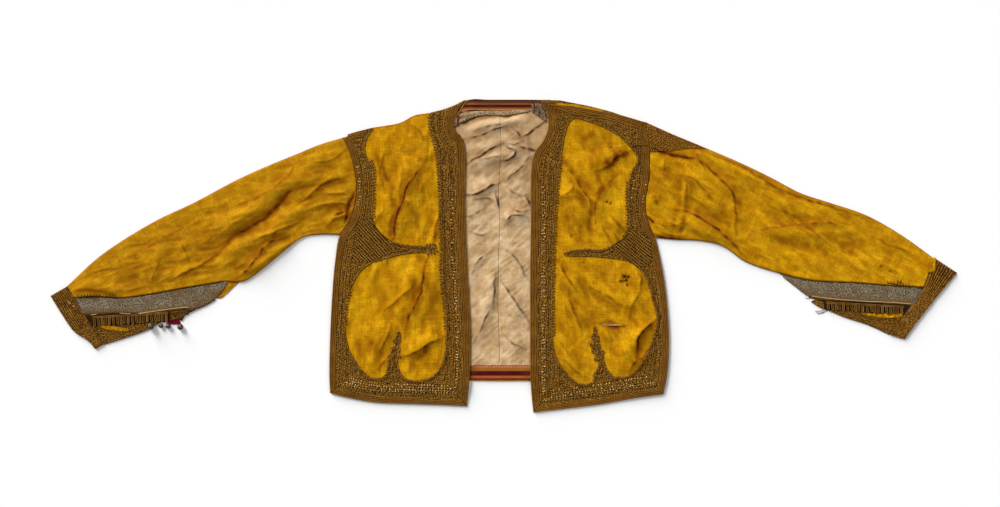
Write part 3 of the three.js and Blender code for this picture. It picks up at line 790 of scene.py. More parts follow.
@dataclass(frozen=True)
class StripedTape:
    """Woven tape whose stripes run along it, from the mark "across" of 0 to 1."""

    name: str
    slot: str
    stripes: tuple[tuple[float, tuple[float, float, float]], ...]
    dotted: tuple[float, float]
    dots: tuple[float, float, float]
    sheen: Sheen = Sheen(roughness=0.7)

    def make(self, effects: SharedEffects) -> bpy.types.Material:
        """Builds the material."""
        finish = Finish(self.name, effects, self.sheen)
        wire = finish.wire
        ramp = wire.node("ShaderNodeValToRGB", {0: wire.mark("across")})
        ramp.color_ramp.interpolation = "CONSTANT"
        for i, (start, colour) in enumerate(self.stripes):
            stop = ramp.color_ramp.elements[i] if i < 2 else ramp.color_ramp.elements.new(start)
            stop.position = start
            stop.color = (*colour, 1.0)
        lay = wire.maths("SINE", wire.times(wire.mark("along"), 2 * math.pi / 0.0024))
        low, high = self.dotted
        past_low = wire.maths("GREATER_THAN", wire.mark("across"), low)
        band = wire.times(past_low, wire.maths("LESS_THAN", wire.mark("across"), high))
        dot = wire.times(wire.maths("GREATER_THAN", lay, 0.2), band)
        colour = wire.blend(dot, ramp.outputs[0], self.dots)
        age = finish.use(effects.age, Seed=(0.2, 0.9, 0.0))
        dark = tuple(0.4 * c for c in self.stripes[1][1])
        colour = wire.blend(wire.times(age.outputs["Stain"], 0.5), colour, dark)
        ribs = wire.maths("SINE", wire.times(wire.mark("along"), 2 * math.pi / 0.0011))
        finish.relief(wire.times(ribs, 0.5), 0.6, 0.2)
        return finish.paint(colour)


@dataclass(frozen=True)
class SilverSilk:
    """Grey silk with worn metal thread, mottled and rubbed."""

    name: str
    slot: str
    dark: tuple[float, float, float]
    pale: tuple[float, float, float]
    brown: tuple[float, float, float]

    def make(self, effects: SharedEffects) -> bpy.types.Material:
        """Builds the material."""
        finish = Finish(self.name, effects, Sheen(roughness=0.6, fuzz=0.0, specular=0.2))
        wire = finish.wire
        age = finish.use(effects.age, Seed=(0.7, 0.3, 0.0))
        weave = finish.use(effects.weave, Threads=800.0, Unevenness=2.0)
        mottle = wire.span(wire.noise(finish.place, 520.0, 3.0, 0.75), 0.4, 0.64)
        colour = wire.blend(mottle, self.dark, self.pale)
        rust = wire.span(wire.noise(finish.place, 60.0, 4.0, 0.6), 0.46, 0.66)
        colour = wire.blend(wire.times(rust, 0.55), colour, self.brown)
        rubbed = wire.maths("MAXIMUM", age.outputs["Stain"], wire.span(wire.mark("across"), 0.42, 0.1))
        colour = wire.blend(wire.times(rubbed, 0.6), colour, self.brown)
        metal = wire.times(mottle, 0.15)
        finish.material.node_tree.links.new(metal, finish.surface.inputs["Metallic"])
        finish.relief(wire.plus(weave.outputs["Height"], mottle), 0.6, 0.25)
        return finish.paint(colour)


@dataclass(frozen=True)
class DarkMetal:
    """Tarnished cast metal with rubbed high places."""

    name: str
    slot: str
    dark: tuple[float, float, float]
    rubbed: tuple[float, float, float]

    def make(self, effects: SharedEffects) -> bpy.types.Material:
        """Builds the material."""
        finish = Finish(self.name, effects, Sheen(roughness=0.45, fuzz=0.0, specular=0.5))
        wire = finish.wire
        finish.surface.inputs["Metallic"].default_value = 0.7
        worn = wire.span(wire.noise(finish.place, 350.0, 4.0, 0.6), 0.45, 0.7)
        crest = wire.times(wire.span(wire.mark("crest"), 0.2, 1.0), 0.6)
        colour = wire.blend(wire.maths("MAXIMUM", wire.times(worn, 0.5), crest), self.dark, self.rubbed)
        rough = wire.plus(wire.times(worn, -0.15), 0.52)
        finish.material.node_tree.links.new(rough, finish.surface.inputs["Roughness"])
        finish.relief(worn, 0.3, 0.2)
        return finish.paint(colour)


@dataclass(frozen=True)
class PlainFloor:
    """The pale floor under the jacket."""

    name: str
    colour: tuple[float, float, float]

    def make(self, effects: SharedEffects) -> bpy.types.Material:
        """Builds the material."""
        finish = Finish(self.name, effects, Sheen(roughness=0.95, fuzz=0.0, specular=0.1))
        faint = finish.wire.noise(finish.place, 3.0)
        grey = tuple(0.997 * c for c in self.colour)
        return finish.paint(finish.wire.blend(faint, self.colour, grey))


YELLOW = linear(184, 128, 3)
YELLOW_BRIGHT = linear(218, 166, 14)
# The colour of stains on the yellow cloth, also used for painted shade beside creases and in hollows.
YELLOW_STAIN_AND_SHADE = linear(128, 74, 2)
BROWN_GROUND = linear(70, 46, 11)
LINING = linear(190, 156, 112)
MAROON = linear(78, 6, 20)
GOLD = linear(148, 92, 32)
RED = linear(132, 34, 26)
GOLD_CORD = linear(150, 108, 42)


Slotted = WovenCloth | TwistedCord | StripedTape | SilverSilk | DarkMetal


class Finishes:
    """Every material of the jacket, by its use."""

    def __init__(self) -> None:
        """Builds them all."""
        self.effects = SharedEffects()
        cloth = {"body": YELLOW, "bright": YELLOW_BRIGHT, "stain_and_shade_colour": YELLOW_STAIN_AND_SHADE}
        worn = {"body": linear(173, 120, 6), "bright": linear(204, 152, 18), "stain_and_shade_colour": YELLOW_STAIN_AND_SHADE}
        self.fronts = self.keep(WovenCloth("saffron fronts", "saffron_cotton", ground=BROWN_GROUND, **cloth))
        self.right_sleeve = self.keep(
            WovenCloth("saffron right sleeve", "saffron_cotton", turn=-28.0, seed=2.0, **worn))
        self.left_sleeve = self.keep(
            WovenCloth("saffron left sleeve", "saffron_cotton", turn=24.0, seed=5.0, **cloth))
        self.lining = self.keep(
            WovenCloth("cream lining", "cream_lining", LINING, linear(220, 193, 154), linear(142, 103, 60),
                       threads=700.0, seed=3.0, groove=linear(78, 46, 22), gap=linear(50, 28, 14),
                       grain=0.18))
        self.cord = self.keep(
            TwistedCord("couched cord", "brown_braid", linear(140, 91, 23), linear(58, 34, 5),
                        linear(172, 122, 42)))
        self.loops = self.keep(
            TwistedCord("loop cord", "loop_cord", linear(142, 98, 38), linear(62, 38, 10),
                        linear(170, 128, 66)))
        self.backing = self.keep(
            WovenCloth("braid ground", "brown_braid", BROWN_GROUND, linear(92, 66, 24), linear(44, 28, 8)))
        dots = linear(196, 146, 92)
        hem = ((0.0, RED), (0.12, GOLD), (0.29, MAROON), (0.63, GOLD), (0.85, RED))
        self.hem_tape = self.keep(StripedTape("hem tape", "striped_tape", hem, (0.85, 1.0), dots))
        neck = ((0.0, linear(140, 66, 34)), (0.19, linear(124, 82, 34)), (0.28, linear(120, 44, 26)),
                (0.37, linear(52, 8, 18)),
                (0.55, linear(120, 74, 30)), (0.73, linear(92, 42, 30)), (0.91, linear(48, 18, 12)))
        self.neck_tape = self.keep(StripedTape("neck tape", "striped_tape", neck, (0.0, 0.19), dots))
        self.facing = self.keep(
            SilverSilk("silver facing", "silver_facing", linear(40, 32, 20), linear(164, 150, 122),
                       linear(94, 64, 20)))
        self.metal = self.keep(
            DarkMetal("tarnished metal", "button_metal", linear(52, 43, 34), linear(132, 114, 94)))
        self.scrap = self.keep(
            WovenCloth("red cloth", "red_cloth", linear(118, 8, 34), linear(150, 24, 52), linear(66, 4, 20)))
        pale = {"body": linear(212, 176, 114), "bright": linear(230, 202, 148),
                "stain_and_shade_colour": linear(176, 132, 54)}
        self.speck = self.keep(WovenCloth("pale yarn", "cream_lining", seed=1.0, **pale))
        grey = {"body": linear(176, 150, 112), "bright": linear(206, 184, 148),
                "stain_and_shade_colour": linear(112, 82, 50)}
        self.selvedge = self.keep(WovenCloth("neck selvedge", "cream_lining", seed=9.0, **grey))
        # A darker copy of the lining for the fold at the neck: painted shade.
        shaded_lining = {"body": linear(128, 104, 82), "bright": linear(156, 132, 108), "stain_and_shade_colour": linear(62, 40, 26)}
        self.shaded_neck_fold = self.keep(WovenCloth("shaded neck fold", "cream_lining", seed=4.0, **shaded_lining))
        gold = {"body": linear(164, 116, 42), "bright": linear(200, 150, 70), "stain_and_shade_colour": linear(116, 76, 20)}
        self.couching = self.keep(WovenCloth("gold couching", "brown_braid", seed=6.0, **gold))
        self.floor = PlainFloor("pale floor", (0.886, 0.886, 0.892)).make(self.effects)

    def keep(self, finish: Slotted) -> bpy.types.Material:
        """Makes a finish."""
        return finish.make(self.effects)


def hand_over(obj: bpy.types.Object, material: bpy.types.Material, *nodes: str) -> None:
    """Dresses a finished piece and ties it to the frame.

    Args:
        obj: The piece.
        material: Its finish.
        *nodes: The CAD nodes that it stands for.
    """
    if not obj.data.materials:
        obj.data.materials.append(material)
    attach(obj, BODY)
    if nodes:
        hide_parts(*nodes)
    log.info("%s: %d faces", obj.name, len(obj.data.polygons))


@dataclass(frozen=True)
class Sewn:
    """A sheet of cloth ready to be laid: its name, points, faces, marks and wall in millimetres."""

    name: str
    verts: np.ndarray
    faces: np.ndarray
    marks: dict[str, np.ndarray]
    wall: float

    def lay(self, ground: Ground | None, material: bpy.types.Material, *nodes: str) -> bpy.types.Object:
        """Makes the sheet, and lays it for what comes above it if a ground is given."""
        obj = placed(self.name, marked_mesh(self.name, self.verts, [], self.faces.tolist(), self.marks))
        if ground:
            ground.lay(self.verts, self.faces)
        thicken(obj, self.wall)
        hand_over(obj, material, *nodes)
        return obj


# --- cords ----------------------------------------------------------------------------------


@dataclass(frozen=True)
class Strand:
    """One length of cord: its centre line in millimetres, shade and girth."""

    line: np.ndarray
    shade: float = 0.7
    girth: float = 1.0


class CordMaker:
    """Turns strands into round cords with Geometry Nodes."""

    def __init__(self) -> None:
        """Builds the tree once."""
        takes = {"Geometry": "Geometry", "Radius": "Float", "Flatness": "Float", "Sides": "Int",
                 "Material": "Material"}
        wire = group("couched cords", "GeometryNodeTree", takes, {"Geometry": "Geometry"})
        given = wire.node("NodeGroupInput")
        sent = wire.node("NodeGroupOutput")
        line = wire.first("GeometryNodeMeshToCurve", {0: given.outputs["Geometry"]})
        upright = wire.first("GeometryNodeSetCurveNormal", {0: line}, mode="Z_UP")
        reach = wire.node("GeometryNodeSplineParameter").outputs["Length"]
        measured = wire.node("GeometryNodeStoreNamedAttribute", {0: upright, "Name": "along", "Value": reach})
        ring = wire.first("GeometryNodeCurvePrimitiveCircle",
                         {"Resolution": given.outputs["Sides"], "Radius": given.outputs["Radius"]})
        turn = wire.node("GeometryNodeSplineParameter").outputs["Factor"]
        rounded = wire.node("GeometryNodeStoreNamedAttribute", {0: ring, "Name": "around", "Value": turn})
        squash = wire.first("ShaderNodeCombineXYZ", {0: 1.0, 1: given.outputs["Flatness"], 2: 1.0})
        oval = wire.first("GeometryNodeTransform", {0: rounded.outputs[0], "Scale": squash})
        girth = wire.first("GeometryNodeInputNamedAttribute", {"Name": "girth"})
        tube = wire.first("GeometryNodeCurveToMesh",
                         {0: measured.outputs[0], 1: oval, "Scale": girth, "Fill Caps": True})
        soft = wire.first("GeometryNodeSetShadeSmooth", {0: tube})
        real = wire.first("GeometryNodeRealizeInstances", {0: soft})
        dressed = wire.first("GeometryNodeSetMaterial", {0: real,
                                                        "Material": given.outputs["Material"]})
        wire.tree.links.new(dressed, sent.inputs[0])
        self.tree = wire.tree

    def lay(self, name: str, strands: Sequence[Strand], radius: float, material: bpy.types.Material,
            *nodes: str,
            flatness: float = 0.7, sides: int = 5) -> None:
        """Makes one piece from strands and ties it to the frame.

        Args:
            name: The piece's name.
            strands: The cords' lines.
            radius: Half a cord's width, in millimetres.
            material: The cords' finish.
            *nodes: The CAD nodes that it stands for.
            flatness: A cord's height to its width.
            sides: How many sides a cord has.
        """
        counts = [len(s.line) for s in strands]
        first = np.concatenate([[0], np.cumsum(counts)[:-1]])
        edges = np.vstack([np.column_stack([np.arange(n - 1), np.arange(1, n)]) + f for n,
                           f in zip(counts, first)])
        marks = {mark: np.repeat([getattr(s, mark) for s in strands], counts) for mark in ("shade", "girth")}
        mesh = marked_mesh(name, np.vstack([s.line for s in strands]), edges.tolist(), [], marks)
        values = {"Radius": radius * MM, "Flatness": flatness, "Sides": sides, "Material": material}
        hand_over(grown(name, mesh, self.tree, values), material, *nodes)


class StitchMaker:
    """Sets small rounded stitches on points with Geometry Nodes."""

    def __init__(self) -> None:
        """Builds the tree once."""
        takes = {"Geometry": "Geometry", "Length": "Float", "Width": "Float", "Material": "Material"}
        wire = group("stitches", "GeometryNodeTree", takes, {"Geometry": "Geometry"})
        given = wire.node("NodeGroupInput")
        sent = wire.node("NodeGroupOutput")
        bead = wire.first("GeometryNodeMeshIcoSphere", {"Radius": 0.5, "Subdivisions": 1})
        size = wire.first("GeometryNodeInputNamedAttribute", {"Name": "girth"})
        turn = wire.first("GeometryNodeInputNamedAttribute", {"Name": "turn"})
        spin = wire.first("ShaderNodeCombineXYZ", {0: 0.0, 1: 0.0, 2: turn})
        wide = wire.times(given.outputs["Width"], size)
        long = wire.times(given.outputs["Length"], size)
        scale = wire.first("ShaderNodeCombineXYZ", {0: long, 1: wide, 2: wide})
        placed = wire.first("GeometryNodeInstanceOnPoints", {
            "Points": given.outputs["Geometry"], "Instance": bead, "Rotation": spin,
            "Scale": scale})
        real = wire.first("GeometryNodeRealizeInstances", {0: placed})
        soft = wire.first("GeometryNodeSetShadeSmooth", {0: real})
        dressed = wire.first("GeometryNodeSetMaterial", {0: soft,
                                                        "Material": given.outputs["Material"]})
        wire.tree.links.new(dressed, sent.inputs[0])
        self.tree = wire.tree

    def sew(self, name: str, stitches: np.ndarray, length: float, width: float,
            material: bpy.types.Material) -> None:
        """Makes one piece of stitches and ties it to the frame.

        Args:
            name: The piece's name.
            stitches: Rows of x, y, z in millimetres, turn in radians and size.
            length: A stitch's length, in millimetres.
            width: Its width.
            material: Its finish.
        """
        mesh = marked_mesh(name, stitches[:, :3], [], [], {"turn": stitches[:, 3], "girth": stitches[:, 4]})
        values = {"Length": length * MM, "Width": width * MM, "Material": material}
        hand_over(grown(name, mesh, self.tree, values), material)


def grown(name: str, mesh: bpy.types.Mesh, tree: bpy.types.NodeTree,
          values: dict[str, object]) -> bpy.types.Object:
    """Runs a Geometry Nodes tree on a mesh and keeps the plain result.

    Args:
        name: The piece's name.
        mesh: What the tree starts from.
        tree: The tree.
        values: Its inputs, by name.

    Returns:
        The new object, with no modifier.
    """
    seed = placed(name + "_lines", mesh)
    modifier = seed.modifiers.new("grow", "NODES")
    modifier.node_group = tree
    for socket in tree.interface.items_tree:
        if socket.in_out == "INPUT" and socket.name in values:
            modifier[socket.identifier] = values[socket.name]
    graph = bpy.context.evaluated_depsgraph_get()
    made = bpy.data.meshes.new_from_object(seed.evaluated_get(graph), depsgraph=graph)
    bpy.data.objects.remove(seed)
    bpy.data.meshes.remove(mesh)
    made.name = name
    return placed(name, made)


class Course(Enum):
    """How one row of couched cord runs: pitch, swing, wavelength, curl, shade, girth and step."""

    PLAIN = (2.6, 0.0, 1.0, 0.0, 1.0, 1.0, 2.4)
    FINE = (2.2, 0.2, 9.0, 0.0, 0.9, 0.8, 2.2)
    WAVY = (2.8, 0.6, 6.0, 0.0, 0.95, 0.8, 1.3)
    DOTTED = (3.4, 1.15, 4.0, 1.25, 1.3, 0.4, 0.7)
    CURLED = (4.8, 1.7, 5.0, 1.75, 1.25, 0.45, 0.85)

    @property
    def pitch(self) -> float:
        """How much room the row takes, in millimetres."""
        return self.value[0]

    def run(self, line: np.ndarray, seed: int) -> np.ndarray:
        """The row's cord along a guide line, in its own waves or curls."""
        _, swing, wavelength, curl, _, _, step = self.value
        guide = respaced(line, step)
        if swing == 0.0:
            return guide
        side = normals(guide)
        ahead = np.column_stack([side[:, 1], -side[:, 0]])
        reach = step * np.arange(len(guide))
        phase = 2 * math.pi * reach / wavelength
        phase += 0.8 * ripple(np.column_stack([reach, reach * 0]), 24.0, seed)
        across = swing * np.cos(phase)
        back = -curl * np.sin(phase)
        return guide + side * across[:, None] + ahead * back[:, None]


def kept_runs(line: np.ndarray, keep: np.ndarray, fewest: int = 4) -> list[np.ndarray]:
    """The stretches of a line whose points are kept."""
    edges = np.flatnonzero(np.diff(np.concatenate([[False], keep, [False]]).astype(int)))
    return [line[a:b] for a, b in zip(edges[::2], edges[1::2]) if b - a >= fewest]


@dataclass(frozen=True)
class Border:
    """A length of couched border: its node, outer edge, courses from the edge in, and depth.

    Pale specks sit at some depths, between two heights of Y, with a chance for each place.
    """

    node: str
    edge: Path
    courses: tuple[Course, ...]
    depth: float
    specks: tuple[float, ...] = ()
    speckled: tuple[float, float] = (-300.0, 300.0)
    chance: float = 0.8


@dataclass(frozen=True)
class Lattice:
    """Openwork of slanting cords with bars across, inside an outline."""

    node: str
    outline: Path
    slant: float
    pitch: float = 4.2


# --- the pieces -----------------------------------------------------------------------------


@dataclass
class Front:
    """One front: its cloth, and the couched borders on it."""

    side: str
    patch: Patch
    outline: Path
    field: Path
    creases: tuple[Crease, ...]
    borders: tuple[Border, ...]
    lattice: Lattice
    # Round marks: discoloured patches, and with a negative strength patches of painted light.
    stains: tuple[Spot, ...]
    outward: Callable[[np.ndarray], np.ndarray]
    field_node: str
    toothed: tuple[tuple[float, float, float, float], ...]
    rings: tuple[tuple[float, float, float], ...]
    holes: tuple[Spot, ...] = ()
    wall: float = 1.6
    across: int = 112
    along: int = 244

    def __post_init__(self) -> None:
        """Measures how far places are from the outline and the field."""
        self.rim = DistanceMap(smooth(self.outline, 4.0, closed=True))
        self.open = DistanceMap(smooth(self.field, 4.0, closed=True))
        self.net = DistanceMap(self.lattice.outline)

    def cloth(self, ground: Ground, finishes: Finishes) -> None:
        """Makes the front's cloth and lays it.

        Args:
            ground: What lies under the cords later.
            finishes: The jacket's materials.
        """
        grid = self.patch.grid(self.across, self.along)
        rows, columns = grid.shape[:2]
        spots = grid.reshape(-1, 2)
        u = np.tile(np.linspace(0, 1, columns), rows)
        v = np.repeat(np.linspace(0, 1, rows), columns)
        outward = self.outward(u)
        near_side = ease((1 - outward) / 0.22)
        near_shoulder = np.maximum(ease((1 - v) / 0.08), ease((0.45 - outward) / 0.2))
        bed = BACK_TOP + 1.8 * np.minimum(near_side, near_shoulder)
        bed *= 1 - ease((-206 - spots[:, 1]) / 28)
        inner = ease(-self.rim(spots) / 14.0)
        inside = ease(-self.open(spots) / 8.0)
        uneven = crumple(spots, 70.0 if self.side == "right" else 110.0, (0.7, 26.0, 5), (0.55, 17.0, 9))
        rise, line, stain_and_shade = creased(self.creases, spots)
        heights = bed + self.wall + rise * (0.35 + 0.65 * inner)
        heights += uneven * (0.3 + 0.7 * inside) * inner
        heights = np.maximum(heights, np.maximum(bed + self.wall - 0.6, self.wall + 0.05))
        more, worn = spotted(self.stains, spots)
        stain_and_shade = np.maximum(stain_and_shade, more)
        # Holes are painted dark, as the shade in them.
        line = np.maximum(line, spotted(self.holes, spots)[0])
        line = np.maximum(line, 0.6 * ease((self.rim(spots) + 3.0) / 2.5))
        verts = np.column_stack([spots, heights])
        faces = facing_up(verts, cells(rows, columns))
        # The hollow mark gives painted shade in hollows and painted highlight on crests; the mark of stains
        # also holds painted shade beside creases.
        marks = {"field": self.open(spots), "stain_and_shade": stain_and_shade, "line": line, "net": self.net(spots),
                 "hollow": hollows(heights.reshape(rows, columns), 4).ravel() + 1.2 * worn}
        sewn = Sewn(f"{self.side}_front_cloth", verts, faces, marks, self.wall)
        obj = sewn.lay(ground, finishes.fronts, f"{self.side}_front")

    def inward(self, border: Border, step: float) -> tuple[np.ndarray, np.ndarray]:
        """A border's outer edge, and the unit vectors from it into the cloth."""
        edge = smooth(border.edge, step)
        inward = normals(edge)
        middle = len(edge) // 2
        if self.rim(edge[middle : middle + 1] + 5 * inward[middle : middle + 1])[0] > 0:
            inward = -inward
        return edge, inward

    def clear(self, border: Border, guide: np.ndarray, depth: float, room: float) -> np.ndarray:
        """Where a row of a border is free of the other borders, the rim, the lattice and the field.

        Args:
            border: The row's border.
            guide: Points along the row.
            depth: How far in from the border's edge it runs.
            room: Half of the row's pitch.

        Returns:
            True for each point that is free.
        """
        keep = nearest(smooth(border.edge, 5.0), guide)[0] > depth - 0.9
        for other in self.borders:
            if other is not border:
                keep &= nearest(smooth(other.edge, 6.0), guide)[0] > depth - 1.0
        keep &= (self.rim(guide) < -1.2) & (self.open(guide) > FIELD_ROOM + room - 0.6)
        return keep & (self.net(guide) > room)

    def rows(self, border: Border, seed: int) -> list[Strand]:
        """The courses of one border."""
        edge, inward = self.inward(border, 2.4)
        made: list[Strand] = []
        depth = 0.0
        place = 0
        while depth < border.depth:
            course = border.courses[min(place, len(border.courses) - 1)]
            guide = edge + inward * (depth + course.pitch / 2)
            bent = 0.8 * ease(np.full(len(guide), depth / 20)) * ripple(guide, 30.0, seed + place)
            guide = guide + inward * bent[:, None]
            keep = self.clear(border, guide, depth + course.pitch / 2, course.pitch / 2)
            for i, run in enumerate(kept_runs(guide, keep)):
                tone = course.value[4] * (0.86 + 0.28 * ((seed * 7 + place * 5 + i * 3) % 10) / 10)
                made.append(Strand(course.run(run, seed + place), tone, course.value[5]))
            depth += course.pitch
            place += 1
        return made

    def specks(self, border: Border, seed: int) -> np.ndarray:
        """Places of the pale specks of one border, as rows of x, y, turn and size."""
        rng = np.random.default_rng(seed)
        edge, inward = self.inward(border, 4.6)
        rows = [np.zeros((0, 4))]
        low, high = border.speckled
        for depth in border.specks:
            spots = edge + inward * depth + rng.normal(0, 0.35, edge.shape)
            keep = self.clear(border, spots, depth, 1.0) & (spots[:, 1] > low) & (spots[:, 1] < high)
            keep &= rng.uniform(0, 1, len(spots)) < border.chance
            chosen = spots[keep]
            turns = np.arctan2(inward[keep, 1], inward[keep, 0]) + rng.normal(0, 0.3, len(chosen))
            sizes = rng.uniform(0.6, 1.3, len(chosen))
            rows.append(np.column_stack([chosen, turns, sizes]))
        return np.vstack(rows)

    def couching(self, seed: int) -> np.ndarray:
        """Places of the golden stitches along the inner rows, as rows of x, y, turn and size."""
        rng = np.random.default_rng(seed)
        chosen = []
        for border in self.borders:
            solid = sum(course.pitch for course in border.courses if course is Course.PLAIN)
            for depth in np.arange(solid + 2.0, border.depth, 3.3):
                edge, inward = self.inward(border, 3.1 + rng.uniform(-0.2, 0.2))
                spots = edge + inward * depth + rng.normal(0, 0.4, edge.shape)
                keep = self.clear(border, spots, depth, 1.0) | ((self.rim(spots) < -3) & (depth > 20))
                keep &= (self.open(spots) > 1.2) & (self.net(spots) > 0.0)
                chosen.append(spots[keep & (rng.uniform(0, 1, len(spots)) < 0.72)])
        spots = np.vstack(chosen)
        turns = rng.uniform(0, math.pi, len(spots))
        return np.column_stack([spots, turns, rng.uniform(0.65, 1.2, len(spots))])

    def field_rim(self, step: float) -> tuple[np.ndarray, np.ndarray]:
        """The field's rim, and the unit vectors from it out of the field."""
        rim = smooth(self.field, step, closed=True)
        outward = normals(rim)
        return rim, -outward if self.open(rim[:1] + 4 * outward[:1])[0] < 0 else outward

    def field_edge(self) -> list[Strand]:
        """Rows that follow the field's rim, and fill what the borders leave."""
        rim, outward = self.field_rim(2.0)
        made: list[Strand] = []
        courses = (Course.FINE, Course.DOTTED, Course.WAVY, Course.DOTTED, Course.DOTTED, Course.DOTTED)
        away = 0.6
        for place, course in enumerate(courses):
            guide = rim + outward * (away + course.pitch / 2)
            keep = (self.open(guide) > away + course.pitch / 2 - 0.7) & (self.rim(guide) < -1.2)
            keep &= self.net(guide) > 1.0
            if away > FIELD_ROOM - 1:
                keep &= self.past_borders(guide)
            for run in kept_runs(guide, keep):
                made.append(Strand(course.run(run, 60 + place), 1.1, course.value[5]))
            away += course.pitch
        return made

    def past_borders(self, spots: np.ndarray) -> np.ndarray:
        """Whether each spot lies deeper than every border's courses go."""
        keep = np.ones(len(spots), bool)
        for border in self.borders:
            keep &= nearest(smooth(border.edge, 8.0), spots)[0] > border.depth + 1.0
        return keep

    def teeth(self) -> list[Strand]:
        """Short loops of cord set across the field's rim, where it is toothed."""
        rim, outward = self.field_rim(4.7)
        ahead = np.column_stack([outward[:, 1], -outward[:, 0]])
        made = []
        for i, spot in enumerate(rim):
            if not any(a < spot[0] < b and c < spot[1] < d for a, b, c, d in self.toothed):
                continue
            if self.rim(spot[None])[0] > -3.0:
                continue
            reach = 3.2 + 0.6 * math.sin(i * 2.3)
            steps = [(-0.7, 2.2), (-0.65, -reach * 0.5), (-0.3, -reach), (0.3, -reach), (0.65, -reach * 0.5),
                     (0.7, 2.2)]
            line = smooth([spot + ahead[i] * along + outward[i] * out for along, out in steps], 1.1)
            made.append(Strand(line, 0.7 + 0.3 * math.sin(i * 1.7), 0.6))
        return made

    def ornaments(self) -> list[Strand]:
        """Stacked rings of cord that stand on the field."""
        turn = np.linspace(0, 2 * math.pi, 13)
        made = []
        for i, (x, y, radius) in enumerate(self.rings):
            around = np.column_stack([np.cos(turn), np.sin(turn)]) * radius
            made.append(Strand(around + [x, y], 0.85 + 0.2 * math.sin(i * 2.7), 0.62))
        return made

    def openwork(self) -> tuple[list[Strand], list[Strand]]:
        """The lattice's golden cords, and the darker bars between them."""
        centre = np.asarray(self.lattice.outline, float).mean(0)
        slant = math.radians(self.lattice.slant)
        ahead = np.array([math.cos(slant), math.sin(slant)])
        across = np.array([-ahead[1], ahead[0]])
        shares = np.arange(-56, 56, 1.6)[:, None]
        golden, bars = [], []
        for k in range(-12, 13):
            line = centre + across * (k * self.lattice.pitch) + ahead * shares
            line = line + across * (0.3 * ripple(line, 14.0, k + 40))[:, None]
            golden += [Strand(run) for run in kept_runs(line, self.netted(line), 3)]
            for step in np.arange(-56, 56, 3.2):
                start = centre + across * (k * self.lattice.pitch + 0.3) + ahead * (step + 0.5 * (k % 2))
                bar = start + across * np.linspace(0, self.lattice.pitch - 0.6, 3)[:, None]
                bars += [Strand(run, 0.9, 0.4) for run in kept_runs(bar, self.netted(bar), 3)]
        return golden, bars

    def netted(self, line: np.ndarray) -> np.ndarray:
        """Which points of a line lie in the lattice, on the braid."""
        return (self.net(line) < 0.3) & (self.rim(line) < -2) & (self.open(line) > 1.8)

    def braids(self, ground: Ground, maker: CordMaker, sewer: StitchMaker, finishes: Finishes) -> None:
        """Lays every cord of the front, one piece for each length of border."""
        dots = []
        for seed, border in enumerate(self.borders):
            strands = self.rows(border, 11 * seed + 3)
            if border.node == self.lattice.node:
                golden, bars = self.openwork()
                strands += bars + self.ornaments()
                maker.lay(f"{self.side}_lattice_cords", set_down(golden, ground, 1.5), 0.5, finishes.couching,
                          flatness=0.8)
            if border.node == self.field_node:
                strands += self.field_edge() + self.teeth()
            maker.lay(f"{border.node}_cords", set_down(strands, ground, 1.05), 1.38, finishes.cord,
                      border.node,
                      flatness=0.66)
            dots.append(self.specks(border, 11 * seed + 5))
        for name, spots, above, length, width, material in (
            ("specks", np.vstack(dots), 1.9, 2.7, 1.6, finishes.speck),
            ("couching", self.couching(97), 1.8, 1.9, 0.95, finishes.couching),
        ):
            stitches = np.column_stack([spots[:, :2], ground.heights(spots) + above, spots[:, 2:]])
            sewer.sew(f"{self.side}_front_{name}", stitches, length, width, material)


def set_down(strands: Iterable[Strand], ground: Ground, above: float) -> list[Strand]:
    """The same strands, resting on what lies under them."""
    kernel = np.array([1, 2, 3, 2, 1]) / 9
    laid = []
    for strand in strands:
        heights = ground.heights(strand.line) + above
        if len(heights) > 4:
            heights = np.convolve(np.pad(heights, 2, mode="edge"), kernel, mode="valid")
        laid.append(Strand(np.column_stack([strand.line[:, :2], heights]), strand.shade, strand.girth))
    return laid


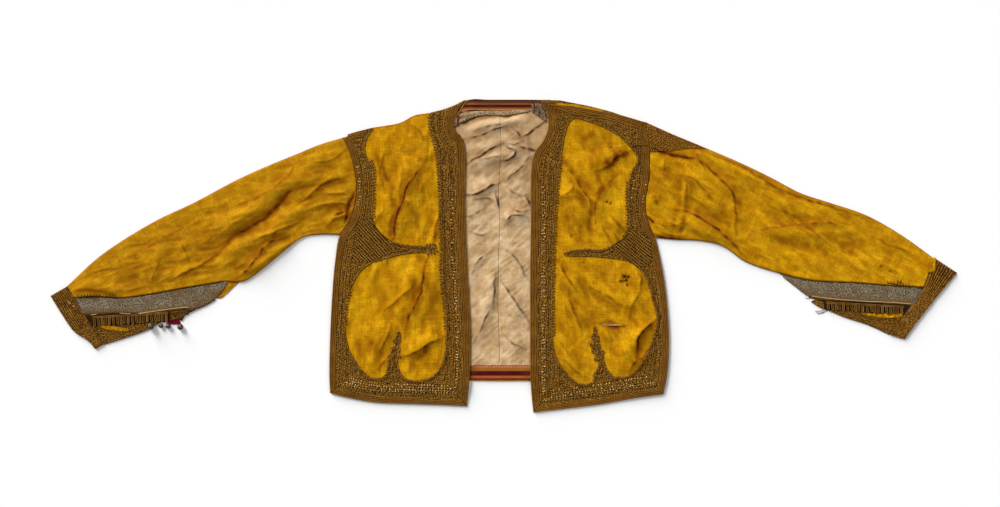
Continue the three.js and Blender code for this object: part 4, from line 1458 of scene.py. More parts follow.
@dataclass
class Sleeve:
    """One sleeve: a flattened tube of cloth from its armhole to the cuff."""

    side: str
    patch: Patch
    creases: tuple[Crease, ...]
    # Round marks: discoloured patches, and with a negative strength patches of painted light.
    stains: tuple[Spot, ...]
    away: float
    flat: tuple[float, float]
    capped: Path = ()
    height: float = 3.8
    wall: float = 1.0
    across: int = 84
    along: int = 232
    under: int = 8

    TAPER: ClassVar[float] = 0.72  # the flat sleeve's area over that of the rectangle round it

    def cloth(self, ground: Ground, material: bpy.types.Material) -> None:
        """Makes the sleeve and lays it.

        Args:
            ground: What lies under later layers.
            material: The sleeve's finish.
        """
        grid = self.patch.grid(self.across, self.along)
        v = np.linspace(0, 1, self.along + 1)
        grid[:, :, 0] += (self.away * 0.8 * (1 - 2 * v))[:, None]
        rows, columns = grid.shape[:2]
        spots = grid.reshape(-1, 2)
        inset = insets(grid)
        inner = ease(inset.ravel() / 16.0)
        uneven = crumple(spots, 24.0 * -self.away, (0.8, 26.0, 21), (0.6, 17.0, 23))
        rise, line, crease_shade = creased(self.creases, spots)
        top = self.height + (rise + uneven * inner) * (0.3 + 0.7 * inner)
        top = np.maximum(top, self.height - 0.7).reshape(rows, columns)
        below = self.patch.grid(self.under, self.along)
        below[:, :, 0] += (self.away * 0.8 * (1 - 2 * v))[:, None]
        verts, faces = flat_tube(grid, 1.7, top, below)
        size = len(verts) // rows
        stain_and_shade, worn = spotted(self.stains, verts[:, :2])
        hollow, lines, crease_shades = (np.zeros((rows, size)) for _ in range(3))
        hollow[:, :columns] = hollows(top, 4)
        lines[:, :columns] = np.maximum(line.reshape(rows, columns), 0.6 * ease((2.6 - inset) / 2.4))
        crease_shades[:, :columns] = crease_shade.reshape(rows, columns)
        if self.capped:
            covered = ease((0.5 - DistanceMap(self.capped)(spots)) / 1.5)
            lines[:, :columns] = np.maximum(lines[:, :columns], 0.8 * covered.reshape(rows, columns))
        # The hollow mark gives painted shade in hollows and painted highlight on crests; the mark of stains
        # also holds painted shade beside creases.
        marks = {"stain_and_shade": np.maximum(stain_and_shade, crease_shades.ravel()), "hollow": hollow.ravel() + 1.2 * worn,
                 "line": lines.ravel()}
        sewn = Sewn(f"{self.side}_sleeve_cloth", verts, faces, marks, self.wall)
        obj = sewn.lay(ground, material, f"{self.side}_sleeve")


@dataclass
class Strip:
    """A flat strip between an upper and a lower edge, such as a slit's facing."""

    name: str
    node: str
    upper: Path
    lower: Path
    away: float
    top: float
    wall: float

    def cloth(self, ground: Ground, material: bpy.types.Material) -> bpy.types.Object:
        """Makes the strip and lays it."""
        grid = band_between(self.lower, self.upper).grid(120, 14)
        u = np.linspace(0, 1, 121)
        grid[:, :, 0] -= (self.away * 1.6 * u * u)[None, :]
        rows, columns = grid.shape[:2]
        spots = grid.reshape(-1, 2)
        heights = np.maximum(self.top + 0.25 * ripple(spots, 17.0, 31) - 0.15, self.wall + 0.05)
        verts = np.column_stack([spots, heights])
        faces = facing_up(verts, cells(rows, columns))
        zeros = np.zeros(len(spots))
        across = np.repeat(np.linspace(0, 1, rows), columns)
        marks = {"stain_and_shade": np.ones(len(spots)), "hollow": zeros, "across": across}
        return Sewn(self.name, verts, faces, marks, self.wall).lay(ground, material, self.node)


@dataclass
class Cuff:
    """A cuff band: a flattened tube covered in cords that follow its edges."""

    side: str
    inner: Path
    outer: Path
    height: float = 4.4

    def build(self, ground: Ground, maker: CordMaker, finishes: Finishes) -> None:
        """Makes the band and its cords."""
        band = band_between(self.inner, self.outer)
        grid = band.grid(60, 16)
        dip = 0.35 * ripple(grid.reshape(-1, 2), 26.0, 61).reshape(grid.shape[:2])
        verts, faces = flat_tube(grid, 1.9, self.height - 1.4 + dip, band.grid(8, 16))
        zeros = np.zeros(len(verts))
        sewn = Sewn(f"{self.side}_cuff_ground", verts, faces, {"stain_and_shade": zeros, "hollow": zeros}, 1.0)
        cloth = sewn.lay(ground, finishes.backing, f"{self.side}_cuff")
        inner, outer = smooth(self.inner, 2.0), smooth(self.outer, 2.0)
        count = max(len(inner), len(outer))
        shares = np.linspace(0, 1, count)
        low, high = at_shares(inner, shares), at_shares(outer, shares)
        strands = []
        for k in range(9):
            share = 0.05 + 0.9 * k / 8
            line = low + (high - low) * share
            strands.append(Strand(respaced(line, 2.2), 0.6 + 0.4 * ((k * 3) % 4) / 3, 0.9))
        maker.lay(f"{self.side}_cuff_cords", set_down(strands, ground, 0.7), 1.3, finishes.cord,
                  flatness=0.62)


@dataclass
class LoopRow:
    """A row of cord loops that stand side by side along a slit's braid."""

    side: str
    start: tuple[float, float]
    end: tuple[float, float]
    drop: tuple[float, float]
    count: int = 20
    bed: float = 2.9
    gape: float = 1.25

    @property
    def middle(self) -> float:
        """The row's middle, across the jacket."""
        return (self.start[0] + self.end[0]) / 2

    @property
    def half(self) -> float:
        """Half of the row's length."""
        return abs(self.end[0] - self.start[0]) / 2

    def build(self, maker: CordMaker, finishes: Finishes) -> None:
        """Makes the loops and the cord that they hang from."""
        strands = []
        start, end = np.array(self.start), np.array(self.end)
        for i in range(self.count):
            share = (i + 0.5) / self.count
            root = start + (end - start) * share
            reach = self.drop[0] + (self.drop[1] - self.drop[0]) * share + 0.7 * math.sin(i * 2.1)
            lean = 1.2 * math.sin(i * 1.3) + 0.9
            turn = np.linspace(0, math.pi, 5)
            half = self.gape
            tip = np.column_stack([-half * np.cos(turn) + lean, -reach + half - half * np.sin(turn)])
            down = [[-half, -0.6], [-half + lean * 0.5, -reach / 2]]
            up = [[half + lean * 0.5, -reach / 2], [half, -0.6]]
            line = smooth(root + np.vstack([down, tip, up]), 1.4)
            lift = self.bed + 0.95 + 0.25 * math.sin(i * 1.9)
            strands.append(Strand(at_level(line, lift), 1.0 + 0.25 * math.sin(i * 3.7)))
        for shift, level in ((0.0, 1.2), (-2.0, 1.1)):
            line = respaced(np.vstack([start, end]) + [0, shift], 3.0)
            strands.append(Strand(at_level(line, self.bed + level), 0.6, 1.1))
        maker.lay(f"{self.side}_loops", strands, 0.74, finishes.loops, f"{self.side}_loop_row", flatness=1.0,
                  sides=6)


@dataclass
class BallButton:
    """A cast ball button with ribs from pole to pole and a bead round its waist."""

    name: str
    x: float
    y: float
    radius: float
    bed: float
    turn: float

    def build(self, finishes: Finishes) -> None:
        """Makes the ball with its waist bead."""
        rings, sides = 20, 36
        latitude = np.linspace(-math.pi / 2, math.pi / 2, rings + 1)[1:-1]
        around = np.linspace(0, 2 * math.pi, sides, endpoint=False)
        rib = 0.5 + 0.5 * np.cos(9 * around)
        verts, crest = [], []
        for angle in latitude:
            waist = math.exp(-((angle / 0.12) ** 2))
            groove = 0.035 * (rib - 1) * math.cos(angle) ** 0.5 * (1 - waist) + 0.03 * waist
            r = self.radius * (0.965 + groove)
            level = np.full(sides, math.sin(angle)) * r
            verts.append(np.column_stack([r * math.cos(angle) * np.cos(around), level,
                                          r * math.cos(angle) * np.sin(around)]))
            crest.append(np.maximum(rib, waist))
        poles = np.array([[0, -self.radius * 0.95, 0], [0, self.radius * 0.95, 0]])
        points = np.vstack(verts + [poles])
        marks = np.concatenate(crest + [np.array([0.5, 0.5])])
        turn = math.radians(self.turn)
        spin = np.array([[math.cos(turn), -math.sin(turn)], [math.sin(turn), math.cos(turn)]])
        points[:, :2] = points[:, :2] @ spin.T
        points += [self.x, self.y, self.bed + self.radius]
        quads = cells(rings - 1, sides, closed=True).tolist()
        last = (rings - 2) * sides
        caps = [[(i + 1) % sides, i, len(points) - 2] for i in range(sides)]
        caps += [[last + i, last + (i + 1) % sides, len(points) - 1] for i in range(sides)]
        mesh = marked_mesh(self.name, points, [], quads + caps, {"crest": marks})
        piece = placed(f"{self.name}_ball", mesh)
        outward_faces(mesh)
        hand_over(piece, finishes.metal, self.name)


def outward_faces(mesh: bpy.types.Mesh) -> None:
    """Turns a closed mesh's faces over if they look inwards."""
    co = np.zeros(len(mesh.vertices) * 3)
    mesh.vertices.foreach_get("co", co)
    centre = co.reshape(-1, 3).mean(0)
    looks = sum((Vector(p.center) - Vector(centre)).dot(p.normal) for p in mesh.polygons)
    if looks < 0:
        mesh.flip_normals()


@dataclass
class LiningHalf:
    """One half of the pale lining behind the open front."""

    side: str
    patch: Patch
    creases: tuple[Crease, ...]
    stains: tuple[Spot, ...]
    bed: float = BACK_TOP
    wall: float = 1.2

    def cloth(self, ground: Ground, finishes: Finishes) -> None:
        """Makes the half and lays it."""
        grid = self.patch.grid(46, 204)
        rows, columns = grid.shape[:2]
        spots = grid.reshape(-1, 2)
        free = ease((spots[:, 0] + 64) / 8) * ease((43 - spots[:, 0]) / 8)
        uneven = crumple(spots, 32.0, (0.45, 24.0, 41), (0.5, 15.0, 43))
        rise, line, stain_and_shade = creased(self.creases, spots)
        heights = self.bed + self.wall + free * (1.2 * rise + uneven)
        heights = np.maximum(heights, self.bed + self.wall - 0.5)
        stain_and_shade = np.maximum(0.7 * stain_and_shade, spotted(self.stains, spots)[0])
        verts = np.column_stack([spots, heights])
        faces = facing_up(verts, cells(rows, columns))
        # The hollow mark gives painted shade in hollows and painted highlight on crests; the mark of stains
        # also holds painted shade beside creases.
        marks = {"stain_and_shade": stain_and_shade, "line": np.minimum(1.5 * line, 1.0),
                 "hollow": 0.8 * hollows(heights.reshape(rows, columns), 4).ravel()}
        sewn = Sewn(f"{self.side}_lining_cloth", verts, faces, marks, 1.0)
        obj = sewn.lay(ground, finishes.lining, f"{self.side}_lining")


@dataclass
class Tape:
    """A striped tape between two edges."""

    name: str
    node: str
    near: Path
    far: Path
    level: Callable[[np.ndarray], np.ndarray]
    wall: float = 1.2

    def cloth(self, ground: Ground, finishes: Finishes) -> None:
        """Makes the tape and lays it."""
        grid = band_between(self.near, self.far).grid(90, 14)
        rows, columns = grid.shape[:2]
        spots = grid.reshape(-1, 2)
        heights = self.level(spots) + 0.12 * ripple(spots, 18.0, 51)
        verts = np.column_stack([spots, heights])
        faces = facing_up(verts, cells(rows, columns))
        reach = reaches(grid[rows // 2])
        across = np.repeat(np.linspace(0, 1, rows), columns)
        if self.node == "neck_tape":
            level = np.clip((spots[:, 1] - 231.8) / 17.8, 0.0, 1.0)
            across = np.where(spots[:, 1] < 230.5, 0.21 + 0.7 * across, level)
        marks = {"across": across, "along": np.tile(reach * MM, rows)}
        tape = finishes.neck_tape if self.node == "neck_tape" else finishes.hem_tape
        obj = Sewn(self.name, verts, faces, marks, self.wall).lay(ground, tape, self.node)


@dataclass
class Scrap:
    """A small piece of cloth between two edges, which lies on what is under it."""

    name: str
    near: Path
    far: Path
    flat: tuple[float, float]
    lift: float = 0.6
    wall: float = 0.5
    nodes: tuple[str, ...] = ()

    def cloth(self, ground: Ground, material: bpy.types.Material) -> None:
        """Makes the piece and lays it."""
        grid = band_between(self.near, self.far).grid(40, 8)
        spots = grid.reshape(-1, 2)
        under = ground.heights(spots).reshape(9, 41)
        for _ in range(4):
            under += 0.7 * hollows(under, 2)
        heights = np.maximum(under.ravel() + self.lift + 0.4 * ripple(spots, 8.0, 71), self.wall + 0.05)
        verts = np.column_stack([spots, heights])
        faces = facing_up(verts, cells(9, 41))
        # The hollow mark gives painted shade in the scrap's hollows and painted highlight on its crests.
        marks = {"hollow": hollows(heights.reshape(9, 41), 2).ravel() * 2,
                 "stain_and_shade": 0.3 + 0.4 * ripple(spots, 6.0, 5)}
        obj = Sewn(self.name, verts, faces, marks, self.wall).lay(None, material, *self.nodes)


@dataclass
class Back:
    """The back panel, which lies under everything."""

    outline: Path
    wall: float = 1.5

    COLLAR: ClassVar[float] = 205.0  # past this the back's rim is dark, like the braid in front of it

    def cloth(self, finishes: Finishes) -> None:
        """Makes the panel as a flat sheet."""
        ring = respaced(np.vstack([self.outline, self.outline[:1]]), 6.0)[:-1]
        zeros = np.zeros(len(ring))
        brown = np.where(ring[:, 1] > self.COLLAR, 5.0, -5.0)
        marks = {"stain_and_shade": zeros, "hollow": zeros, "field": brown, "net": zeros + 9.0}
        mesh = marked_mesh("back_cloth", at_level(ring, self.wall), [], [list(range(len(ring)))], marks)
        mesh.polygons.foreach_set("use_smooth", [False])
        obj = placed("back_cloth", mesh)
        if mesh.polygons[0].normal.z < 0:
            mesh.flip_normals()
        thicken(obj, self.wall)
        hand_over(obj, finishes.fronts, "back")


class Studio:
    """The pale floor, soft lights and the camera straight above."""

    SIGHT_MM = 1600.0
    LENS_MM = 100.0
    SENSOR_MM = 36.0
    CENTRE = (-7.2, 4.0)
    FLOOR = 6.0  # half the floor's width, in metres

    def build(self, finishes: Finishes) -> None:
        """Sets the stage."""
        mesh = bpy.data.meshes.new("floor")
        corners = [(-1, -1), (1, -1), (1, 1), (-1, 1)]
        mesh.from_pydata([(x * self.FLOOR, y * self.FLOOR, -0.0003) for x, y in corners], [], [(0, 1, 2, 3)])
        floor = placed("floor", mesh)
        mesh.materials.append(finishes.floor)
        self.light("key", (-4.0, 5.0, 5.0), math.radians(20), 2.2, (1.0, 0.99, 0.97))
        self.light("low", (-3.2, 5.0, 1.8), math.radians(30), 3.0, (1.0, 0.99, 0.97))
        self.light("fill", (5.0, 1.0, 9.0), math.radians(40), 0.5, (0.97, 0.985, 1.0))
        world = bpy.data.worlds.new("studio")
        world.use_nodes = True
        world.node_tree.nodes["Background"].inputs[0].default_value = (1, 1, 1, 1)
        world.node_tree.nodes["Background"].inputs[1].default_value = 0.3
        bpy.context.scene.world = world
        bpy.context.scene.view_settings.view_transform = "Standard"
        self.camera()

    @staticmethod
    def light(name: str, place: tuple[float, float, float], breadth: float, power: float,
              colour: tuple[float, float, float]) -> None:
        """Adds a far, broad lamp that lights the whole floor alike from this side."""
        lamp = bpy.data.lights.new(name, "SUN")
        lamp.angle = breadth
        lamp.energy = power
        lamp.color = colour
        obj = placed(name, lamp)
        obj.location = place
        obj.rotation_euler = (-Vector(place)).to_track_quat("-Z", "Y").to_euler()

    def camera(self) -> None:
        """Hangs the camera above the jacket, at the distance that its sight needs."""
        data = bpy.data.cameras.new("camera")
        data.lens = self.LENS_MM
        data.sensor_width = self.SENSOR_MM
        above = self.SIGHT_MM * self.LENS_MM / self.SENSOR_MM
        obj = placed("camera", data)
        obj.location = (self.CENTRE[0] * MM, self.CENTRE[1] * MM, above * MM)
        bpy.context.scene.camera = obj


# --- the jacket's own shapes ----------------------------------------------------------------


def plan(*pixels: tuple[float, float]) -> list[tuple[float, float]]:
    """Places across the jacket from its plan at 1.6 mm a step, counted from the plan's top left."""
    return [((x - 504.5) * 1.6, (256 - y) * 1.6) for x, y in pixels]


RIGHT_HEM = [(-279, -219), (-247, -227), (-207, -234), (-167, -236), (-103, -238), (-60, -240)]
RIGHT_SHOULDER = [(-258, 189), (-220, 203), (-167, 213), (-143, 225), (-119, 229), (-87, 238), (-62, 250)]
RIGHT_SIDE = [(-279, -219), (-280, -190), (-279, -134), (-276, -70), (-271, -10), (-263, 34), (-247, 53),
              (-238, 82), (-236, 114), (-241, 146), (-249, 171), (-258, 189)]
RIGHT_CENTRE = [(-60, -240), (-55, -182), (-55, -102), (-60, -14), (-63, 74), (-66, 186), (-78, 200),
                (-81, 213), (-76, 230), (-62, 250)]
LEFT_HEM = [(46, -250), (89, -245), (153, -237), (217, -226), (254, -221)]
LEFT_SHOULDER = [(57, 248), (82, 248), (105, 241), (137, 235), (172, 229), (225, 214)]
LEFT_CENTRE = [(46, -250), (42, -206), (41, -142), (41, -54), (42, 42), (47, 162), (62, 184), (70, 206),
               (68, 229), (57, 248)]
LEFT_SIDE = [(254, -221), (260, -190), (263, -142), (260, -78), (252, -19), (241, 29), (231, 51), (225, 82),
             (230, 122), (232, 166), (225, 214)]
BACK_OUTLINE = [(-277, -196), (-130, -199), (0, -200), (120, -199), (259, -196), (260, -142), (257, -78),
                (249, -19), (238, 29), (228, 51), (222, 82), (227, 122), (229, 166), (224, 212), (172, 230.5),
                (137, 239.5), (89, 249), (44, 250), (-60, 250), (-87, 236), (-119, 226), (-167, 211),
                (-220, 201), (-255, 188), (-246, 171), (-238, 146), (-233, 114), (-235, 82), (-244, 53),
                (-260, 34), (-268, -10), (-273, -70), (-276, -134)]
RIGHT_NOTCH = plan((405.6, 377.5), (400, 370), (398, 362), (400, 354), (400.6, 348), (399, 344.5),
                   (401.5, 340.5), (400.5, 333.5), (398.6, 330.6), (397, 334), (393.2, 340.3), (394.8, 344.5),
                   (390.6, 349.5), (391, 355), (388.4, 360), (387, 368), (384, 376))
RIGHT_FIELD = [(-119, 262), (-119, 210), (-108, 162), (-102, 60), (-100, -40), (-94, -100), (-100, -170),
               (-118, -193), (-146, -198), *RIGHT_NOTCH, (-214, -193), (-247, -150), (-254, -100),
               (-246, -54), (-223, -19), (-190, -5), (-148, 4), (-112, 6), (-110, 11), (-112, 15), (-154, 18),
               (-182, 25), (-208, 53), (-209, 100), (-210, 142), (-222, 165), (-219, 188), (-206, 210),
               (-206, 250)]
LEFT_NOTCH = plan((614.7, 376.7), (609.5, 371.5), (606.5, 366.4), (603.8, 357.7), (603.3, 352.3),
                  (600, 345.8), (599, 341.4), (599.8, 337.1), (596.8, 332.8), (597.4, 328.5), (594.8, 325.4),
                  (592.3, 328.5), (593.3, 332.8), (590.4, 337.1), (593, 341.4), (590.4, 345.8),
                  (592.3, 352.3), (596.2, 357.7), (597.9, 366.6), (593, 374), (592, 381.5))
LEFT_FIELD = [(108, 217), (135, 214), (162, 203), (185, 189), (212, 154), (202, 134), (196, 100), (198, 60),
              (195, 35), (178, 21), (154, 11), (125, 12), (95, 5), (94, 2), (98, 0), (145, -2), (198, -10),
              (222, -30), (236, -72), (243, -98), (238, -126), (217, -173), (198, -191), (180, -192),
              *LEFT_NOTCH, (118, -202), (84, -162), (77, -99), (78, -22), (83, 90), (91, 157)]
RIGHT_ARMHOLE = [(-264, 34), (-249, 53), (-239, 82), (-236, 114), (-241, 146), (-249, 171), (-258, 189)]
RIGHT_TOP = [(-258, 189), (-295, 178), (-334, 162), (-383, 142), (-431, 120), (-495, 86), (-564, 53),
             (-647, 0), (-700, -48)]
RIGHT_UNDERARM = [(-264, 34), (-295, 34), (-321, 30), (-354, 6), (-388, -22), (-415, -40), (-430, -42),
                  (-448, -41)]
RIGHT_SLIT = [(-448, -41), (-480, -46), (-511, -51), (-572, -62), (-613, -67), (-654, -65), (-688, -67)]
LEFT_ARMHOLE = [(241, 29), (231, 51), (225, 82), (230, 122), (232, 166), (225, 214)]
LEFT_TOP = [(225, 214), (268, 195), (321, 173), (377, 149), (425, 126), (473, 101), (521, 85), (577, 66),
            (633, 35), (688, -4)]
LEFT_UNDERARM = [(241, 29), (273, 26), (313, 24), (348, 16), (385, -9), (441, -28)]
LEFT_SLIT = [(441, -28), (490, -39), (564, -43), (624, -48), (671, -50)]
CAP = [(222, 222), (268, 200), (321, 177), (330, 170), (297, 171), (262, 166), (228, 165)]
RIGHT_CUFF_INNER = [(-642, -142), (-658, -116), (-669, -100), (-678, -86), (-687.5, -69), (-700, -49)]
RIGHT_CUFF_OUTER = [(-654, -149), (-666, -135), (-688, -121), (-708, -93), (-726, -64)]
LEFT_CUFF_INNER = [(617, -126), (628.5, -110), (641.5, -94), (658, -72), (672, -50), (680.5, -27), (689, -4)]
LEFT_CUFF_OUTER = [(640, -133), (665, -99), (697, -59), (724, -27)]
RIGHT_FACING_FOOT = [(-444.5, -45), (-449, -53), (-463, -69), (-480, -79), (-503, -86), (-531, -86),
                     (-572, -92), (-613, -90), (-673, -93)]
LEFT_FACING_FOOT = [(446, -34), (465, -49), (487, -65), (500, -68), (514, -69.5), (564, -72), (624, -76),
                    (652, -78)]
RIGHT_SLIT_FOOT = [(-505, -89), (-517, -98.5), (-527, -101.5), (-541, -105.5), (-551, -106.5), (-560, -112),
                   (-570, -118), (-588, -125), (-613, -133), (-642, -142)]
LEFT_SLIT_FOOT = [(490, -73), (504, -82), (520, -88), (544, -98), (584, -111), (617, -126)]


def planned(step: float, *places: tuple[float, float]) -> np.ndarray:
    """A smooth line through places of the plan."""
    return smooth(plan(*places), step)


def sized(*spots: tuple[float, float, float]) -> tuple[tuple[float, float, float], ...]:
    """Round places of the plan, each with its radius in millimetres."""
    return tuple((*plan((x, y))[0], radius) for x, y, radius in spots)


def lowered(points: Path, drop: float) -> list[tuple[float, float]]:
    """The same points, moved down."""
    return [(x, y - drop) for x, y in points]


def soft(height: float, width: float, *path: tuple[float, float]) -> Crease:
    """A soft ridge, alike on both sides, through places in millimetres."""
    return Crease(path, height, width, width)


def crisp(height: float, left: float, right: float, *path: tuple[float, float]) -> Crease:
    """A sharp fold over places of the plan, with a steep and a gentle side and a dark line of painted shade.
    """
    return Crease(plan(*path), 1.8 * height, left, right, Fold.CRISP, min(0.2 + 0.27 * abs(height), 0.9))


def shaded(dark: float, width: float, *path: tuple[float, float]) -> Crease:
    """A broad soft trough over places of the plan, with painted shade that makes it darker than the cloth
    round it.
    """
    return Crease(plan(*path), -0.8, width, width, Fold.SOFT, dark)


def gap_shade(*path: tuple[float, float]) -> Crease:
    """A narrow trough over places of the plan whose gap is painted dark as shade: short splits in the cloth,
    and deep shade under some folds.
    """
    return Crease(plan(*path), -0.5, 2.0, 2.0, Fold.CRISP, 1.2)


RIGHT_CREASES = (
    soft(5, 14, (-190, 45), (-180, 90), (-159, 130), (-129, 162)),
    soft(4, 14, (-164, 38), (-148, 90), (-119, 134)),
    soft(4, 15, (-110, 2), (-116, -54), (-135, -102)),
    soft(4, 16, (-135, 0), (-154, -54), (-170, -106)),
    soft(4, 14, (-167, -154), (-135, -138), (-106, -118)),
    soft(3, 15, (-212, -142), (-191, -99)),
    crisp(2.6, 4, 10, (388.6, 243.5), (394.3, 237.8), (395.3, 224.4), (398.2, 212.9), (402.9, 203.3),
          (404.9, 194.7), (407.7, 187), (416.3, 174.6), (425, 162.2), (427, 158.4)),
    gap_shade((389, 243), (394.3, 237.8), (395.3, 224.4), (398.2, 212.9), (402.9, 203.3)),
    crisp(1.2, 4, 5, (415.4, 163.2), (421.1, 158.4), (434.5, 155)),
    crisp(1.0, 4, 4, (403.9, 199.5), (408.7, 205.3)),
    shaded(0.85, 7, (371.4, 142), (378, 159.3), (386.7, 178.5), (392.4, 191.9), (392.4, 224.4)),
    shaded(0.5, 9, (410, 118), (405, 132), (395, 140), (380, 144)),
    shaded(0.45, 8, (425, 140), (415, 150), (400, 152)),
    shaded(0.45, 8, (410, 200), (418, 222), (420, 238)),
    shaded(0.4, 9, (372, 290), (388, 300), (400, 330)),
    shaded(0.45, 8, (420, 330), (432, 320), (440, 305)),
    crisp(1.3, 4, 5, (372.9, 225.9), (379, 217.5), (384.7, 210.2)),
    crisp(1.7, 4, 7, (439.6, 212.8), (435, 228.5), (433, 243)),
    crisp(2.2, 9, 5, (430.4, 253.4), (426.5, 262.5), (423.9, 275.6), (422.6, 290), (416, 304.3), (409.5, 316),
          (406.2, 328), (405.6, 338)),
    crisp(1.2, 4, 6, (413.4, 284.7), (405.6, 292.6), (395, 301.7), (384.7, 309.6)),
    crisp(1.4, 5, 6, (392.5, 322.6), (388.6, 333), (383.4, 343.5), (378, 354)),
    crisp(1.7, 4, 8, (443.5, 335.7), (431.7, 342.2), (418.7, 350), (408.2, 354.7), (400.4, 357.3)),
    shaded(0.8, 6, (431, 344), (419, 359), (409.5, 374)),
    shaded(0.6, 7, (355, 330), (361, 352.7), (366.4, 365)),
    crisp(1.2, 4, 5, (387.3, 356.6), (380.7, 364.5), (378, 375)),
    crisp(0.9, 4, 4, (425, 363.8), (441, 363.8)),
    crisp(1.1, 4, 4, (386, 252), (387.5, 264)),
    crisp(1.2, 5, 9, (385, 150), (380, 172), (384, 190)),
    crisp(1.0, 4, 7, (425, 140), (418, 128), (408, 124)),
    shaded(0.35, 12, (360, 280), (380, 282), (400, 275)),
)
LEFT_CREASES = (
    soft(5, 13, (121, 34), (114, 82), (92, 122)),
    soft(5, 14, (153, 38), (150, 82), (137, 122), (113, 170)),
    soft(4, 13, (182, 170), (153, 154), (129, 146)),
    soft(4, 14, (185, 90), (175, 38)),
    soft(4, 15, (105, -14), (121, -70), (137, -118)),
    soft(3, 14, (153, -46), (193, -70), (225, -70)),
    soft(5, 14, (230, -110), (201, -142), (188, -174)),
    soft(3, 13, (92, -150), (118, -186)),
    shaded(1.45, 8.5, (632, 149), (617, 157.5), (608.5, 163.5), (596, 169.5)),
    crisp(1.8, 4, 7, (630.3, 150.1), (615.4, 157), (608.5, 165), (597, 170.8)),
    crisp(1.2, 4, 5, (603.9, 146.7), (615.4, 149), (629, 145.5)),
    shaded(1.2, 7, (618.8, 174.2), (606.2, 186.8), (597, 198.3), (592.4, 209.8), (595.8, 225)),
    crisp(2.2, 10, 4, (618.8, 174.2), (606.2, 186.8), (598, 198.3), (595, 209.8), (595.8, 223)),
    crisp(1.7, 4, 6, (562.6, 160.4), (574, 177.7), (581, 189.1), (589, 199.5), (592, 212)),
    crisp(1.3, 4, 5, (574, 182.3), (570.6, 190.3), (561.4, 196)),
    crisp(1.3, 4, 4, (558, 199.5), (569.4, 196.6), (584.4, 200)),
    shaded(0.8, 5, (581, 219), (580, 232), (581, 247)),
    shaded(0.9, 5, (587.8, 214), (590, 232), (589, 247)),
    crisp(1.7, 4, 6, (609.6, 215.6), (616, 222), (624.6, 232.8)),
    crisp(1.4, 4, 5, (610.8, 230.5), (616, 238), (620, 243)),
    crisp(1.2, 4, 5, (600, 225), (607, 236), (612, 246)),
    shaded(0.5, 12, (566, 130), (585, 138), (606, 146), (618, 140)),
    shaded(0.5, 9, (566, 212), (570, 225), (568, 240)),
    crisp(1.0, 4, 5, (577, 139), (588, 134), (596, 132)),
    shaded(0.5, 9, (566, 300), (585, 312), (600, 335)),
    shaded(0.55, 9, (640, 300), (644, 330), (632, 365)),
    crisp(2.0, 5, 6, (558, 259), (563, 272), (572, 285), (577, 292)),
    crisp(1.9, 5, 7, (568.6, 289.5), (569.7, 301), (575, 314), (578.4, 324), (581.6, 334)),
    crisp(1.4, 5, 5, (582, 285.6), (595.7, 290.5), (608.7, 298), (617.4, 304), (629, 308)),
    crisp(2.6, 5, 12, (656.4, 318.7), (647.7, 326.3), (639, 335), (636.4, 348), (636, 357)),
    crisp(2.2, 7, 5, (649, 351), (640, 360), (631, 366.4), (629.5, 374)),
    crisp(1.2, 5, 5, (556.7, 339), (565, 349), (570, 356)),
    crisp(1.3, 5, 5, (558, 358), (567.5, 364), (577.3, 373), (589, 379.4)),
    crisp(1.1, 4, 4, (606.5, 329.5), (609.8, 337), (611, 343.6)),
    crisp(1.5, 4, 5, (637, 270), (641.2, 280.8), (640, 287.3)),
    shaded(0.7, 10, (592, 268), (603, 274), (611, 277)),
    gap_shade((600, 324), (612, 326.5), (624, 327)),
    crisp(1.0, 4, 7, (640, 290), (632, 305), (628, 322)),
)
